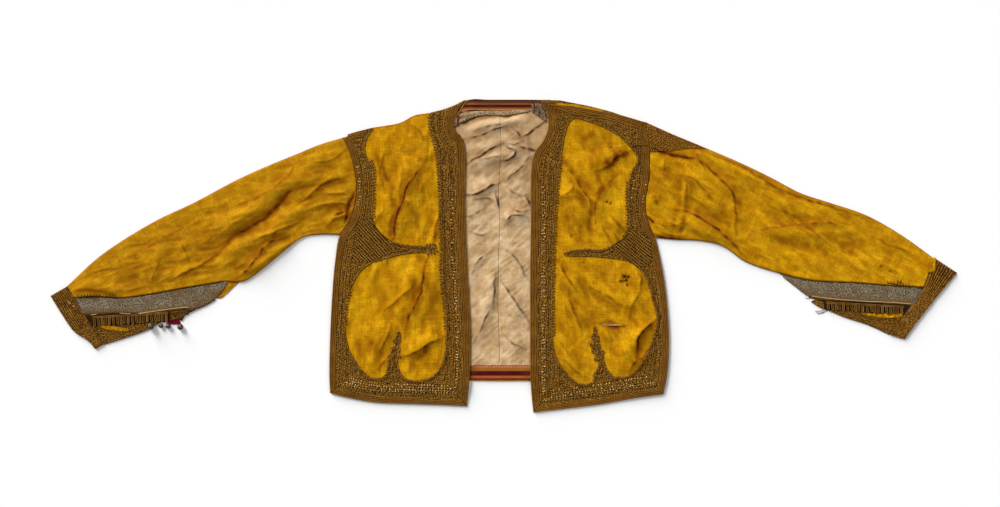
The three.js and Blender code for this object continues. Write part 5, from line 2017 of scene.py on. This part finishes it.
LINING_CREASES = (
    soft(4, 10, (-66, 198), (-31, 210), (12, 217), (44, 220)),
    soft(3, 10, (-60, 168), (-31, 176), (-2, 188), (26, 182)),
    soft(3, 10, (-54, 134), (-23, 153), (12, 165), (34, 157)),
    soft(2.5, 10, (-54, 104), (-24, 122)),
    soft(2.5, 10, (-6, 66), (34, 54)),
    soft(2.5, 10, (-42, -118), (-23, -54), (-30, -10)),
    soft(2.5, 10, (0, -54), (32, -104)),
    crisp(-2.6, 4, 5, (454.2, 127.4), (463.5, 123.3), (475.5, 117.7), (486.6, 115), (495.8, 114.2),
          (506, 116.3), (515.3, 113.6), (532, 111)),
    shaded(0.8, 7, (533, 106), (541, 112), (547, 121)),
    shaded(1.1, 5, (531.5, 152), (533, 162), (533, 172)),
    shaded(0.7, 6, (528, 170), (529, 186), (528, 204)),
    shaded(0.5, 7, (464, 166), (475, 160), (488, 152), (500, 147)),
    shaded(0.35, 8, (475, 131), (490, 127), (508, 123)),
    shaded(0.4, 8, (463, 140), (466, 150), (464, 162)),
    shaded(0.45, 7, (497, 262), (497, 290), (496, 320)),
    crisp(1.5, 4, 8, (463.5, 140.4), (472.7, 137.6), (482, 135.8), (489.4, 132), (495.8, 129.3), (504.2, 127),
          (511.6, 123.3)),
    crisp(0.9, 4, 8, (475.5, 131.6), (483.8, 128), (496.8, 125.6), (506, 123.3), (511.6, 121.4)),
    crisp(1.5, 4, 5, (511.6, 127), (517, 132.5), (521.7, 138)),
    crisp(1.7, 4, 5, (519, 139), (528.2, 133.9), (537.4, 128), (543, 124.2), (548, 122)),
    crisp(1.4, 4, 5, (507, 144.5), (515.3, 145.5), (523.6, 140.8)),
    crisp(1.6, 5, 5, (503.2, 145.5), (509.7, 149.2), (514.8, 151), (514.3, 154.7), (508.8, 159),
          (500.5, 162)),
    crisp(2.0, 4, 5, (519, 146.5), (528.2, 150), (537, 151.5)),
    crisp(1.9, 4, 10, (464, 166.7), (471, 162), (479.2, 157.5), (486.6, 152.4), (495, 147.3), (504, 144.5)),
    crisp(1.2, 4, 6, (480, 161.2), (491.2, 158.4), (502.3, 155.6)),
    crisp(1.5, 4, 6, (506, 182.4), (511.6, 176), (517, 172.3), (523.6, 165.8), (530, 156.6)),
    crisp(2.2, 4, 7, (464, 196.6), (474.6, 195.4), (482, 192.6), (488.4, 188), (499.5, 183.4)),
    crisp(1.1, 4, 6, (473, 199.3), (486, 199.4), (494, 201)),
    crisp(1.5, 4, 5, (495, 192), (496.5, 199), (499, 209)),
    crisp(1.2, 4, 7, (464.4, 216.6), (471.8, 216.2), (480, 212), (486, 209)),
    crisp(1.0, 4, 6, (506, 188), (513.4, 192.6), (521.7, 197.2)),
    crisp(1.4, 4, 5, (501.4, 219.4), (507, 221.3), (511.6, 216.6), (520.8, 215.7), (528.2, 218)),
    crisp(1.2, 4, 5, (513.4, 210.2), (520.8, 212.5), (528.2, 211)),
    crisp(1.6, 3, 5, (524, 196), (527, 201), (530, 205)),
    crisp(1.2, 4, 6, (470, 232), (480, 236), (492, 232)),
    crisp(1.3, 5, 7, (472, 275), (478, 262), (487, 253)),
    crisp(1.2, 4, 8, (495, 275), (494, 290), (493, 308)),
    crisp(1.3, 4, 8, (472, 347), (482, 328), (491, 308)),
    crisp(1.3, 5, 8, (500, 280), (515, 302), (528, 321)),
    crisp(1.0, 4, 8, (506, 250), (518, 262), (527, 280)),
    crisp(1.0, 4, 8, (503, 335), (514, 345), (526, 349)),
)
RIGHT_SLEEVE_CREASES = (
    shaded(0.55, 11, (310, 205), (280, 222), (250, 238), (222, 262)),
    shaded(0.5, 10, (345, 165), (310, 175), (280, 195)),
    shaded(0.45, 12, (200, 215), (170, 235), (140, 262)),
    shaded(0.5, 9, (348, 225), (325, 228), (300, 236)),
    shaded(0.45, 9, (110, 265), (130, 280), (170, 283)),
    soft(6, 17, (-271, 146), (-319, 130), (-359, 106), (-407, 70), (-455, 45), (-511, 10)),
    soft(6, 14, (-287, 82), (-335, 70), (-378, 38), (-423, 13), (-479, -26)),
    soft(5, 10, (-327, 20), (-362, 8), (-388, -12), (-420, -34)),
    soft(3, 15, (-535, 34), (-567, -10), (-583, -46)),
    soft(3, 9, (-685, -52), (-655, -48), (-607, -54)),
    crisp(1.8, 5, 8, (350, 177), (325, 182), (310, 195), (300, 203)),
    crisp(-2.4, 9, 9, (305, 185), (290, 192), (278, 205), (265, 217), (250, 227), (235, 235), (218, 255)),
    crisp(1.6, 5, 7, (218, 253), (205, 262), (190, 270), (170, 281)),
    crisp(2.4, 6, 5, (290, 237), (270, 243), (258, 258), (248, 270), (235, 280)),
    crisp(1.3, 5, 5, (300, 222), (275, 232), (255, 240)),
    crisp(1.2, 8, 8, (180, 240), (186, 252), (190, 262)),
    crisp(1.2, 8, 8, (160, 260), (155, 272), (150, 285)),
    crisp(1.2, 4, 5, (70, 290), (90, 290), (120, 295)),
    crisp(1.2, 4, 5, (352, 205), (335, 203), (318, 206)),
    crisp(1.2, 4, 5, (352, 212), (338, 218), (325, 226)),
    crisp(1.0, 4, 5, (350, 195), (336, 193), (322, 194)),
    crisp(1.2, 5, 10, (240, 205), (262, 196), (285, 180), (300, 160)),
    crisp(1.0, 4, 9, (120, 262), (145, 250), (175, 232), (200, 222)),
    crisp(1.1, 4, 9, (210, 245), (232, 226), (252, 214)),
    crisp(1.0, 4, 8, (345, 150), (330, 160), (312, 163)),
    gap_shade((335, 216), (345, 212)),
    gap_shade((350, 205), (346, 214), (345, 222)),
    gap_shade((355, 190), (350, 202), (344, 212)),
)
LEFT_SLEEVE_CREASES = (
    shaded(0.5, 11, (675, 170), (700, 190), (720, 212), (728, 236)),
    shaded(0.5, 9, (700, 162), (740, 178), (790, 200)),
    shaded(0.45, 11, (760, 235), (800, 245), (850, 268)),
    shaded(0.5, 9, (660, 200), (672, 215), (700, 232)),
    shaded(0.4, 10, (850, 225), (880, 238), (915, 250)),
    soft(4, 13, (313, 157), (377, 125), (457, 83), (553, 51)),
    soft(6, 17, (289, 154), (313, 114), (337, 82), (349, 50)),
    soft(5, 13, (268, 58), (313, 45), (353, 21), (377, 2)),
    soft(4, 13, (385, 18), (409, 32), (473, 37), (553, 38)),
    soft(3, 13, (473, -3), (537, -10), (601, -22)),
    crisp(1.5, 6, 8, (700, 150), (725, 160), (750, 172), (770, 185), (800, 198), (830, 207), (880, 223)),
    crisp(2.0, 8, 12, (695, 152), (705, 165), (720, 180), (732, 195), (735, 215), (735, 235)),
    crisp(2.4, 6, 6, (670, 210), (690, 213), (705, 222), (720, 232), (735, 247), (745, 257)),
    crisp(1.6, 3.5, 8, (748, 238), (753, 232), (765, 229), (790, 226), (820, 224), (858, 224)),
    crisp(1.2, 4, 5, (665, 160), (663, 170)),
    crisp(1.3, 5, 5, (685, 185), (683, 210)),
    crisp(1.1, 4, 4, (650, 195), (657, 203)),
    crisp(1.2, 4, 5, (655, 222), (675, 225), (690, 222)),
    # Painted shadow under the cap's lower rim.
    gap_shade((643, 145), (654.4, 148.6), (664, 153.6), (680, 157), (698, 159.4)),
    shaded(1.0, 5, (656, 236.6), (666, 239.6), (676, 240.6), (686, 240)),
    gap_shade((655, 235.6), (662, 238.2), (674, 240.2), (684, 240.4)),
    shaded(0.8, 4, (678, 236), (682, 228), (684, 218), (688, 212)),
    crisp(1.8, 6, 4, (696, 150), (699, 158), (705, 170)),
    crisp(1.3, 4, 6, (685.4, 180), (686, 192), (685.4, 206)),
    crisp(1.5, 4, 6, (650, 194), (655, 198), (657, 204)),
    gap_shade((646.4, 216.7), (650, 220), (655, 223)),
    crisp(1.4, 5, 6, (655, 224), (668, 227), (680, 224), (688, 215)),
    crisp(1.2, 4, 5, (660, 233), (672, 236), (686, 238)),
    shaded(0.6, 7, (676, 200), (684, 205), (690, 214)),
    crisp(1.1, 4, 9, (760, 205), (785, 212), (812, 232), (835, 250)),
    crisp(1.0, 4, 8, (790, 190), (812, 196), (840, 212)),
    crisp(1.0, 4, 8, (870, 235), (890, 246), (912, 252)),
    crisp(1.2, 5, 9, (665, 175), (690, 178), (712, 200)),
)


class Jacket:
    """The whole garment."""

    def __init__(self, finishes: Finishes) -> None:
        """Keeps the finishes and starts with a bare ground."""
        self.finishes = finishes
        self.ground = Ground()
        self.maker = CordMaker()
        self.sewer = StitchMaker()

    def build(self) -> None:
        """Builds every piece, from the lowest layer up."""
        finishes, ground, maker = self.finishes, self.ground, self.maker
        Back(BACK_OUTLINE).cloth(finishes)
        seam = [(-8.5, -175.5), (-7.6, -150), (-9.6, -90), (-8.5, 8), (-7, 63), (-9, 91), (-7.2, 132),
                (-5, 160),
                (-7, 231.5)]
        right_edge = [(-80, -175.5), (-84, 100), (-98, 195), (-92, 231.5)]
        left_edge = [(58, -175.5), (62, 120), (86, 190), (84, 231.5)]
        clear = [(x - 0.35 * (y < 130), y) for x, y in seam]
        stains = (Spot(-30, 200, 60, 0.35), Spot(30, 200, 60, 0.35), Spot(-4, 160, 60, 0.3),
                  Spot(38, 90, 14, 0.6),
                  Spot(-52, 150, 26, 0.4), Spot(-40, -120, 30, 0.3), Spot(30, -150, 20, 0.4),
                  Spot(36, 130, 14, 0.6))
        LiningHalf("right", Patch([right_edge[0], clear[0]], [right_edge[-1], clear[-1]], right_edge, clear),
                   LINING_CREASES, stains).cloth(ground, finishes)
        LiningHalf("left", Patch([seam[0], left_edge[0]], [seam[-1], left_edge[-1]], seam, left_edge),
                   LINING_CREASES, stains).cloth(ground, finishes)
        self.tapes()
        for front in self.fronts():
            front.cloth(ground, finishes)
            front.braids(ground, maker, self.sewer, finishes)
        self.sleeves()
        for button in (
            BallButton("button_1", -565, -112, 6.0, 2.7, 20),
            BallButton("button_2", -549, -111.5, 4.1, 0, 70),
            BallButton("button_3", -537.5, -112, 4.6, 0, -30),
            BallButton("button_4", -518, -113.5, 5.2, 0, 10),
        ):
            button.build(finishes)
        self.scraps()
        self.threads()

    def tapes(self) -> None:
        """The striped tapes at the neck and the hem of the back."""

        def neck_level(spots: np.ndarray) -> np.ndarray:
            """The neck tape's top: its slanting end passes over the straight part."""
            lift = ease((-40 - spots[:, 0]) / 14) * ease((246 - spots[:, 1]) / 5)
            return 3.0 + 1.8 * lift

        Tape("neck_tape_cloth", "neck_tape",
             [(-73.5, 208), (-70, 224), (-62, 231.6), (-20, 231.8), (74, 231.8)],
             [(-77, 210), (-73.5, 228), (-67, 241), (-56, 249.6), (-20, 249.6), (74, 249.6)], neck_level,
             ).cloth(self.ground, self.finishes)
        Tape("hem_tape_cloth", "hem_tape", [(-78, -197.8), (58, -197.8)], [(-78, -175.8), (58, -175.8)],
             lambda spots: np.full(len(spots), 3.0)).cloth(self.ground, self.finishes)

    def fronts(self) -> list[Front]:
        """Both fronts, with their borders."""
        plain, fine, wavy, dotted, curled = Course
        centre = (plain,) * 5 + (fine, dotted, curled, wavy, fine, dotted, dotted, dotted, wavy)
        hem = (plain,) * 3 + (fine, dotted, curled, wavy, curled, dotted, dotted, wavy, dotted)
        side = (plain,) * 4 + (dotted, wavy, dotted, dotted, wavy, dotted)
        armhole = (plain,) * 4 + (dotted, wavy, dotted, curled)
        shoulder = (plain,) * 5 + (dotted, dotted, wavy, dotted)
        outline = RIGHT_HEM[:-1] + RIGHT_CENTRE + RIGHT_SHOULDER[::-1][1:] + RIGHT_SIDE[::-1][1:-1]
        tree = sized((398.7, 332.6, 1.9), (394.8, 341, 2.2), (399.2, 341, 2.2), (392.4, 348.8, 2.3),
                     (398, 348.8, 2.3), (389.7, 356, 2.4), (394.6, 355, 2.2), (399.2, 356, 2.3),
                     (391.6, 362, 2.4), (396.4, 361, 2.2), (434, 245, 2.4))
        right = Front(
            "right", Patch(RIGHT_HEM, RIGHT_SHOULDER, RIGHT_SIDE, RIGHT_CENTRE), outline, RIGHT_FIELD,
            RIGHT_CREASES,
            (
                Border("right_front_edge_braid", RIGHT_CENTRE, centre, 48,
                       (20.0, 22.5), (-240.0, 110.0), 0.45),
                Border("right_hem_braid", RIGHT_HEM, hem, 48, (19.0, 22.5, 26.5, 31.0)),
                Border("right_side_braid", RIGHT_SIDE[:6], side, 40),
                Border("right_armhole_braid", RIGHT_SIDE[5:] + RIGHT_SHOULDER[1:3], armhole, 40,
                       (3.6, 5.8, 23.5, 26.5), (78.0, 152.0), 0.6),
            ),
            Lattice("right_side_braid",
                    plan((358, 222), (372, 219), (392, 240), (392, 252), (372, 262), (352, 262)), -47.0),
            (Spot(-150, 120, 26, 0.6), Spot(-130, -60, 30, 0.6), Spot(-200, -150, 24, 0.5)),
            lambda u: 1 - u, "right_front_edge_braid",
            ((-124, -88, -120, 262), (-260, -236, -110, -50), (-216, -204, 60, 165)),
            tree,
        )
        outline = LEFT_HEM[:-1] + LEFT_SIDE + LEFT_SHOULDER[::-1][1:] + LEFT_CENTRE[::-1][1:-1]
        tree = sized((594.6, 328.8, 1.9), (592.2, 336.5, 2.2), (597.3, 336.5, 2.2), (591.4, 344.7, 2.2),
                     (597.9, 344.7, 2.3), (593.2, 351.8, 2.3), (598, 352.5, 2.2), (602.6, 351.8, 2.4),
                     (595.4, 359, 2.2), (600.4, 359.4, 2.2), (565.5, 254, 2.2))
        holes = sized((624, 276.2, 4.6), (628, 276.8, 3.6), (621.6, 281.4, 4.2), (626, 280.4, 4.0),
                      (627.2, 284.4, 3.2), (606.6, 201.9, 2.5), (610.6, 203, 2.3), (604.2, 201.6, 1.6),
                      (571, 236, 2.0), (583, 262, 1.8))
        left = Front(
            "left", Patch(LEFT_HEM, LEFT_SHOULDER, LEFT_CENTRE, LEFT_SIDE), outline, LEFT_FIELD, LEFT_CREASES,
            (
                Border("left_front_edge_braid", LEFT_CENTRE, centre, 48, (19.5, 22.5), (-250.0, 110.0), 0.5),
                Border("left_hem_braid", LEFT_HEM, hem, 48, (17.0, 20.5, 24.5, 31.0), (-260.0, -100.0), 0.75),
                Border("left_side_braid", LEFT_SIDE[:6], side, 40),
                Border("left_armhole_braid", LEFT_SIDE[5:], armhole, 40, (3.8, 22.0), (60.0, 130.0), 0.5),
                Border("left_shoulder_braid", LEFT_SHOULDER, shoulder, 40),
            ),
            Lattice("left_side_braid",
                    plan((612, 244), (632, 229), (650, 240), (652, 262), (640, 268), (620, 256)), -38.0),
            # Negative strengths here give patches of painted light.
            (Spot(130, 110, 26, 0.4), Spot(120, -60, 30, 0.3), Spot(150, 190, 46, 0.4),
             Spot(180, 78, 38, -1.2), Spot(160, 34, 26, -0.7), Spot(112, 60, 24, 0.45),
             Spot(92, 120, 16, -0.5)),
            lambda u: u, "left_front_edge_braid",
            ((70, 92, -130, 160), (190, 206, 30, 120)),
            tree,
            tuple(Spot(*hole) for hole in holes),
        )
        return [right, left]

    def sleeves(self) -> None:
        """Both sleeves, with their cuffs, slits and loops."""
        ground, maker, finishes = self.ground, self.maker, self.finishes
        right_low = RIGHT_UNDERARM + RIGHT_SLIT[1:]
        left_low = LEFT_UNDERARM + LEFT_SLIT[1:]
        Sleeve("right", Patch(RIGHT_ARMHOLE, [RIGHT_SLIT[-1], RIGHT_TOP[-1]], right_low, RIGHT_TOP),
               RIGHT_SLEEVE_CREASES,
               (Spot(-300, 100, 30, 0.4), Spot(-470, 20, 34, 0.45), Spot(-600, -30, 30, 0.5)), -1,
               (0.32, 0.52)).cloth(ground, finishes.right_sleeve)
        Sleeve("left", Patch(LEFT_ARMHOLE, [LEFT_SLIT[-1], LEFT_TOP[-1]], left_low, LEFT_TOP),
               LEFT_SLEEVE_CREASES,
               # Negative strengths here give patches of painted light.
               (Spot(552, 18, 18, 0.5), Spot(330, 60, 30, 0.4), Spot(602, -16, 3.2, 1.0),
                Spot(617, -24, 2.8, 1.0), Spot(268, 130, 34, 0.4), Spot(246, 68, 24, -0.8),
                Spot(320, 130, 30, -0.6)),
               1, (0.36, 0.52), CAP).cloth(ground, finishes.left_sleeve)
        right_loops = LoopRow("right", (-659, -97.5), (-538, -90), (15, 14))
        left_loops = LoopRow("left", (514, -73.5), (638, -80.5), (12, 13))
        for side, tip, slit, foot, braid, away, loops in (
            ("right", (-444, -42.5), RIGHT_SLIT, RIGHT_FACING_FOOT, RIGHT_SLIT_FOOT, -1, right_loops),
            ("left", (444, -31), LEFT_SLIT, LEFT_FACING_FOOT, LEFT_SLIT_FOOT, 1, left_loops),
        ):
            seams = [Strand(at_level(smooth(slit, 2.4), 1.5), 0.1),
                     Strand(at_level(smooth(lowered(foot[2:], 0.6), 2.4), 1.3), 0.3)]
            maker.lay(f"{side}_slit_seams", seams, 1.2, finishes.cord, flatness=0.8)
            lip = [tip] + lowered(slit[1:], 0.8)
            facing = Strip(f"{side}_facing_cloth", f"{side}_slit_facing", lip, foot, away, 1.9, 1.6)
            facing.cloth(ground, finishes.facing)
            upper_edge = lowered(foot[3:], 1.2)
            band = Strip(f"{side}_slit_ground", f"{side}_slit_braid", upper_edge, braid, away, 1.5, 1.3)
            band.cloth(ground, finishes.backing)
            edge = smooth(braid, 2.2)
            onward = (edge[-1] - edge[-6]) / np.linalg.norm(edge[-1] - edge[-6])
            edge = np.vstack([edge, edge[-1] + onward * np.arange(2.2, 46.0, 2.2)[:, None]])
            covered = DistanceMap(upper_edge + braid[::-1])
            upper = smooth(upper_edge, 2.2).tolist()
            strands = []
            for k in range(16):
                line = edge + [0, 1.4 + 2.6 * k]
                keep = (covered(line) < -0.3) & (line[:, 1] < level_at(line, upper) - 1.0)
                roots = level_at(line, [loops.start, loops.end])
                beside = abs(line[:, 0] - loops.middle) > loops.half + 3
                keep &= (line[:, 1] < roots - loops.drop[0] - 0.5) | beside
                strands += [Strand(run, 0.6 + 0.4 * (k % 2), 0.9) for run in kept_runs(line, keep)]
            maker.lay(f"{side}_slit_cords", set_down(strands, ground, 0.55), 1.25, finishes.cord,
                      flatness=0.62)
        for cuff in (Cuff("right", RIGHT_CUFF_INNER, RIGHT_CUFF_OUTER),
                     Cuff("left", LEFT_CUFF_INNER, LEFT_CUFF_OUTER)):
            cuff.build(ground, maker, finishes)
        for loops in (right_loops, left_loops):
            loops.build(maker, finishes)
        self.cap_braid()

    def cap_braid(self) -> None:
        """The zigzag cords on the left sleeve's cap."""
        inside = DistanceMap(CAP)
        top = smooth(LEFT_TOP[:4], 1.1)
        strands = []
        for k in range(20):
            base = top + [0.0, -2.2 - 2.8 * k]
            zigzag = 1.35 * (-1) ** k * (2 * np.abs((np.arange(len(base)) / 2.4) % 2 - 1) - 1)
            line = base + np.column_stack([np.zeros(len(base)), zigzag])
            for run in kept_runs(line, inside(line) < -1.2):
                strands.append(Strand(run, 0.9 + 0.45 * ((k * 3) % 5) / 4, 0.6))
        strands = set_down(strands, self.ground, 1.0)
        rng = np.random.default_rng(29)
        xs, ys = np.meshgrid(np.arange(222, 332, 3.0), np.arange(160, 224, 2.9))
        spots = np.column_stack([(xs + 0.5 * ys - 95).ravel(), ys.ravel()])
        spots = spots + rng.normal(0, 0.35, (xs.size, 2))
        spots = spots[(inside(spots) < -2.0) & (spots[:, 1] < level_at(spots, LEFT_TOP[:4]) - 3)]
        turns, sizes = np.full(len(spots), -1.0), rng.uniform(0.7, 1.2, len(spots))
        stitches = np.column_stack([spots, self.ground.heights(spots) + 1.9, turns, sizes])
        self.sewer.sew("left_cap_stitches", stitches, 2.0, 1.0, self.finishes.couching)
        self.maker.lay("left_sleeve_cap_cords", strands, 1.2, self.finishes.cord, "left_sleeve_cap_braid")

    def thread(self, name: str, strands: list[Strand], radius: float, above: float,
               material: bpy.types.Material) -> None:
        """Lays thin threads or cords on the cloth, as one piece."""
        self.maker.lay(name, set_down(strands, self.ground, above), radius, material, flatness=0.8)

    def scraps(self) -> None:
        """The loose and torn bits of cloth."""
        ground, finishes = self.ground, self.finishes
        Scrap("red_scrap", [(-541, -108.5), (-528, -109.5), (-518, -108.6)],
              [(-540, -106), (-530, -101.5), (-521, -98)], (0.024, 0.012), 1.0, 0.8, ("red_tab",),
              ).cloth(ground, finishes.scrap)
        Scrap("right_slit_sliver", [(-647, -114), (-625, -120), (-601, -120)],
              [(-647, -111.5), (-625, -112.5), (-601, -117)], (0.048, 0.012),
              1.7).cloth(ground, finishes.right_sleeve)
        Scrap("left_slit_sliver", [(572, -93), (604, -98.5), (637, -98)],
              [(572, -91), (604, -93), (637, -92)], (0.067, 0.012), 1.7).cloth(ground, finishes.left_sleeve)
        Scrap("left_cuff_sliver", [(676, -28), (682, -27), (688, -26)], [(678, -1), (684, -2), (690, -3)],
              (0.013, 0.026), 4.2, 0.3).cloth(Ground(), finishes.left_sleeve)
        Scrap("right_sleeve_tip", [(-463, -67), (-455, -68), (-449, -65)],
              [(-441, -39), (-432, -40), (-424, -41.5)], (0.02, 0.03)).cloth(Ground(), finishes.right_sleeve)
        Scrap("right_slit_flap", [(-536, -90), (-527, -98), (-516, -104)],
              [(-534, -88), (-518, -84), (-504, -83)], (0.034, 0.02), 1.2).cloth(ground, finishes.backing)
        Scrap("neck_selvedge",
              plan((455, 127), (463, 121.4), (476, 116.6), (491, 115), (505, 115.6), (533, 110.6)),
              plan((460, 114.6), (465, 112), (478, 111.6), (491, 111.4), (505, 111.2), (533, 109.4)),
              (0.12, 0.012), 0.9).cloth(ground, finishes.selvedge)
        # The fold at the neck, in the darker copy of the lining: painted shade.
        Scrap("shaded_neck_fold", plan((532, 112.5), (540, 118), (546.6, 123)),
              plan((531, 104.5), (538, 103.4), (545, 107)), (0.025, 0.025),
              0.8).cloth(ground, finishes.shaded_neck_fold)

    def threads(self) -> None:
        """Stitches, seam cords and frayed threads."""
        finishes = self.finishes
        for side, edge in (("right", RIGHT_ARMHOLE), ("left", LEFT_ARMHOLE)):
            line = smooth(edge, 2.4)
            seam = [Strand(at_level(line + [shift, 0.0], 2.5), shade)
                    for shift, shade in ((-1.2, 0.5), (1.2, 0.7))]
            self.maker.lay(f"{side}_armhole_seam", seam, 1.35, finishes.cord, flatness=0.9)
        for side, edge in (("right", RIGHT_CUFF_INNER), ("left", LEFT_CUFF_INNER)):
            seam = [Strand(at_level(smooth(edge, 2.4), 2.6), 0.45)]
            self.maker.lay(f"{side}_cuff_seam", seam, 1.3, finishes.cord, flatness=0.9)
        scallops = []
        for line in (planned(1.0, (78, 297), (90, 296.4), (102, 296)), planned(1.0, (106, 296), (115, 296)),
                     planned(1.0, (887, 283), (905, 286), (925, 288.6)),
                     planned(1.0, (897, 282), (902, 283))):
            scallops += [Strand(Course.CURLED.run(line + [0, 1.6], 5), 0.15, 1.0),
                         Strand(Course.WAVY.run(line, 6), 0.2, 1.0)]
        self.thread("slit_scallops", scallops, 0.55, 0.4, finishes.cord)
        piping = [planned(2.5, (91, 315), (108, 313), (137, 313.5), (156, 311), (174, 308.5), (189, 307)),
                  planned(2.5, (812, 296), (830, 298.5), (860, 301), (895, 302.6), (912, 304)),
                  planned(2.5, (925, 294), (921, 300), (915, 306)),
                  planned(2.5, (67, 300), (71, 304), (75, 307))]
        self.thread("slit_piping", [Strand(line) for line in piping], 0.5, 0.5, finishes.speck)
        loose = [planned(1.5, (602, 324.4), (608, 324), (615, 324.6), (621, 325.4)),
                 planned(1.5, (603, 325.2), (611, 325.4), (618, 325))]
        self.thread("front_threads", [Strand(line) for line in loose], 0.42, 0.4, finishes.speck)
        gold = [Strand(planned(2.0, (466, 102), (461.4, 108.6), (456.4, 117.5)))]
        self.thread("neck_gold_edge", gold, 0.8, 0.7, finishes.couching)
        shoulder = plan((556, 103.4), (576, 105.2), (603, 110.6))
        piping = [Strand(smooth(lowered(shoulder, 1.3 * k), 2.4)) for k in range(3)]
        self.thread("left_shoulder_piping", piping, 0.7, 1.6, finishes.left_sleeve)
        # Dark cords that paint the shade in the creases beside the fold at the neck.
        wrinkle_shadows = [planned(1.5, (533.6, 103), (534.6, 108), (533.6, 113)),
                    planned(1.5, (541, 105.6), (544.6, 110.6), (547, 118)),
                    planned(1.5, (536, 107), (539.4, 111), (538, 115))]
        self.thread("neck_wrinkle_shade", [Strand(line, 0.0) for line in wrinkle_shadows], 0.8, 1.6, finishes.cord)
        # A dark cord that paints the shadow under the cap's lower rim.
        fold = [Strand(planned(2.0, (632, 145.6), (645, 145.2), (655, 148.6), (661, 151.4)), 0.0)]
        self.thread("left_cap_shadow", fold, 1.5, 1.5, finishes.cord)
        frayed = [planned(1.5, (826, 309), (820, 311), (815, 311)),
                  planned(1.5, (827, 310), (822, 313), (816, 312.6)),
                  planned(1.5, (828, 310.5), (824, 311.6), (818, 314)),
                  planned(1.5, (812, 297), (808, 298.6), (805, 297.6))]
        strands = [Strand(at_level(line, 0.5)) for line in frayed]
        self.maker.lay("frayed_ends", strands, 0.35, finishes.scrap, flatness=1.0)
        rng = np.random.default_rng(17)
        ways = (planned(3.4, (459, 119), (470, 115.6), (485, 113.4), (500, 113), (530, 110.8)),
                planned(3.4, (456, 124), (466, 118.4), (480, 115), (498, 114)))
        spots = np.vstack(ways)
        spots = spots + rng.normal(0, 0.7, spots.shape)
        turns, sizes = rng.uniform(-1, 1, len(spots)), rng.uniform(0.6, 1.2, len(spots))
        stitches = np.column_stack([spots, self.ground.heights(spots) + 2.0, turns, sizes])
        self.sewer.sew("neck_stitches", stitches, 2.2, 1.1, finishes.backing)


def main() -> None:
    """Builds the jacket and its stage."""
    logging.basicConfig(level=logging.INFO, format="%(name)s %(message)s")
    finishes = Finishes()
    Studio().build(finishes)
    Jacket(finishes).build()


if __name__ == "__main__":
    main()
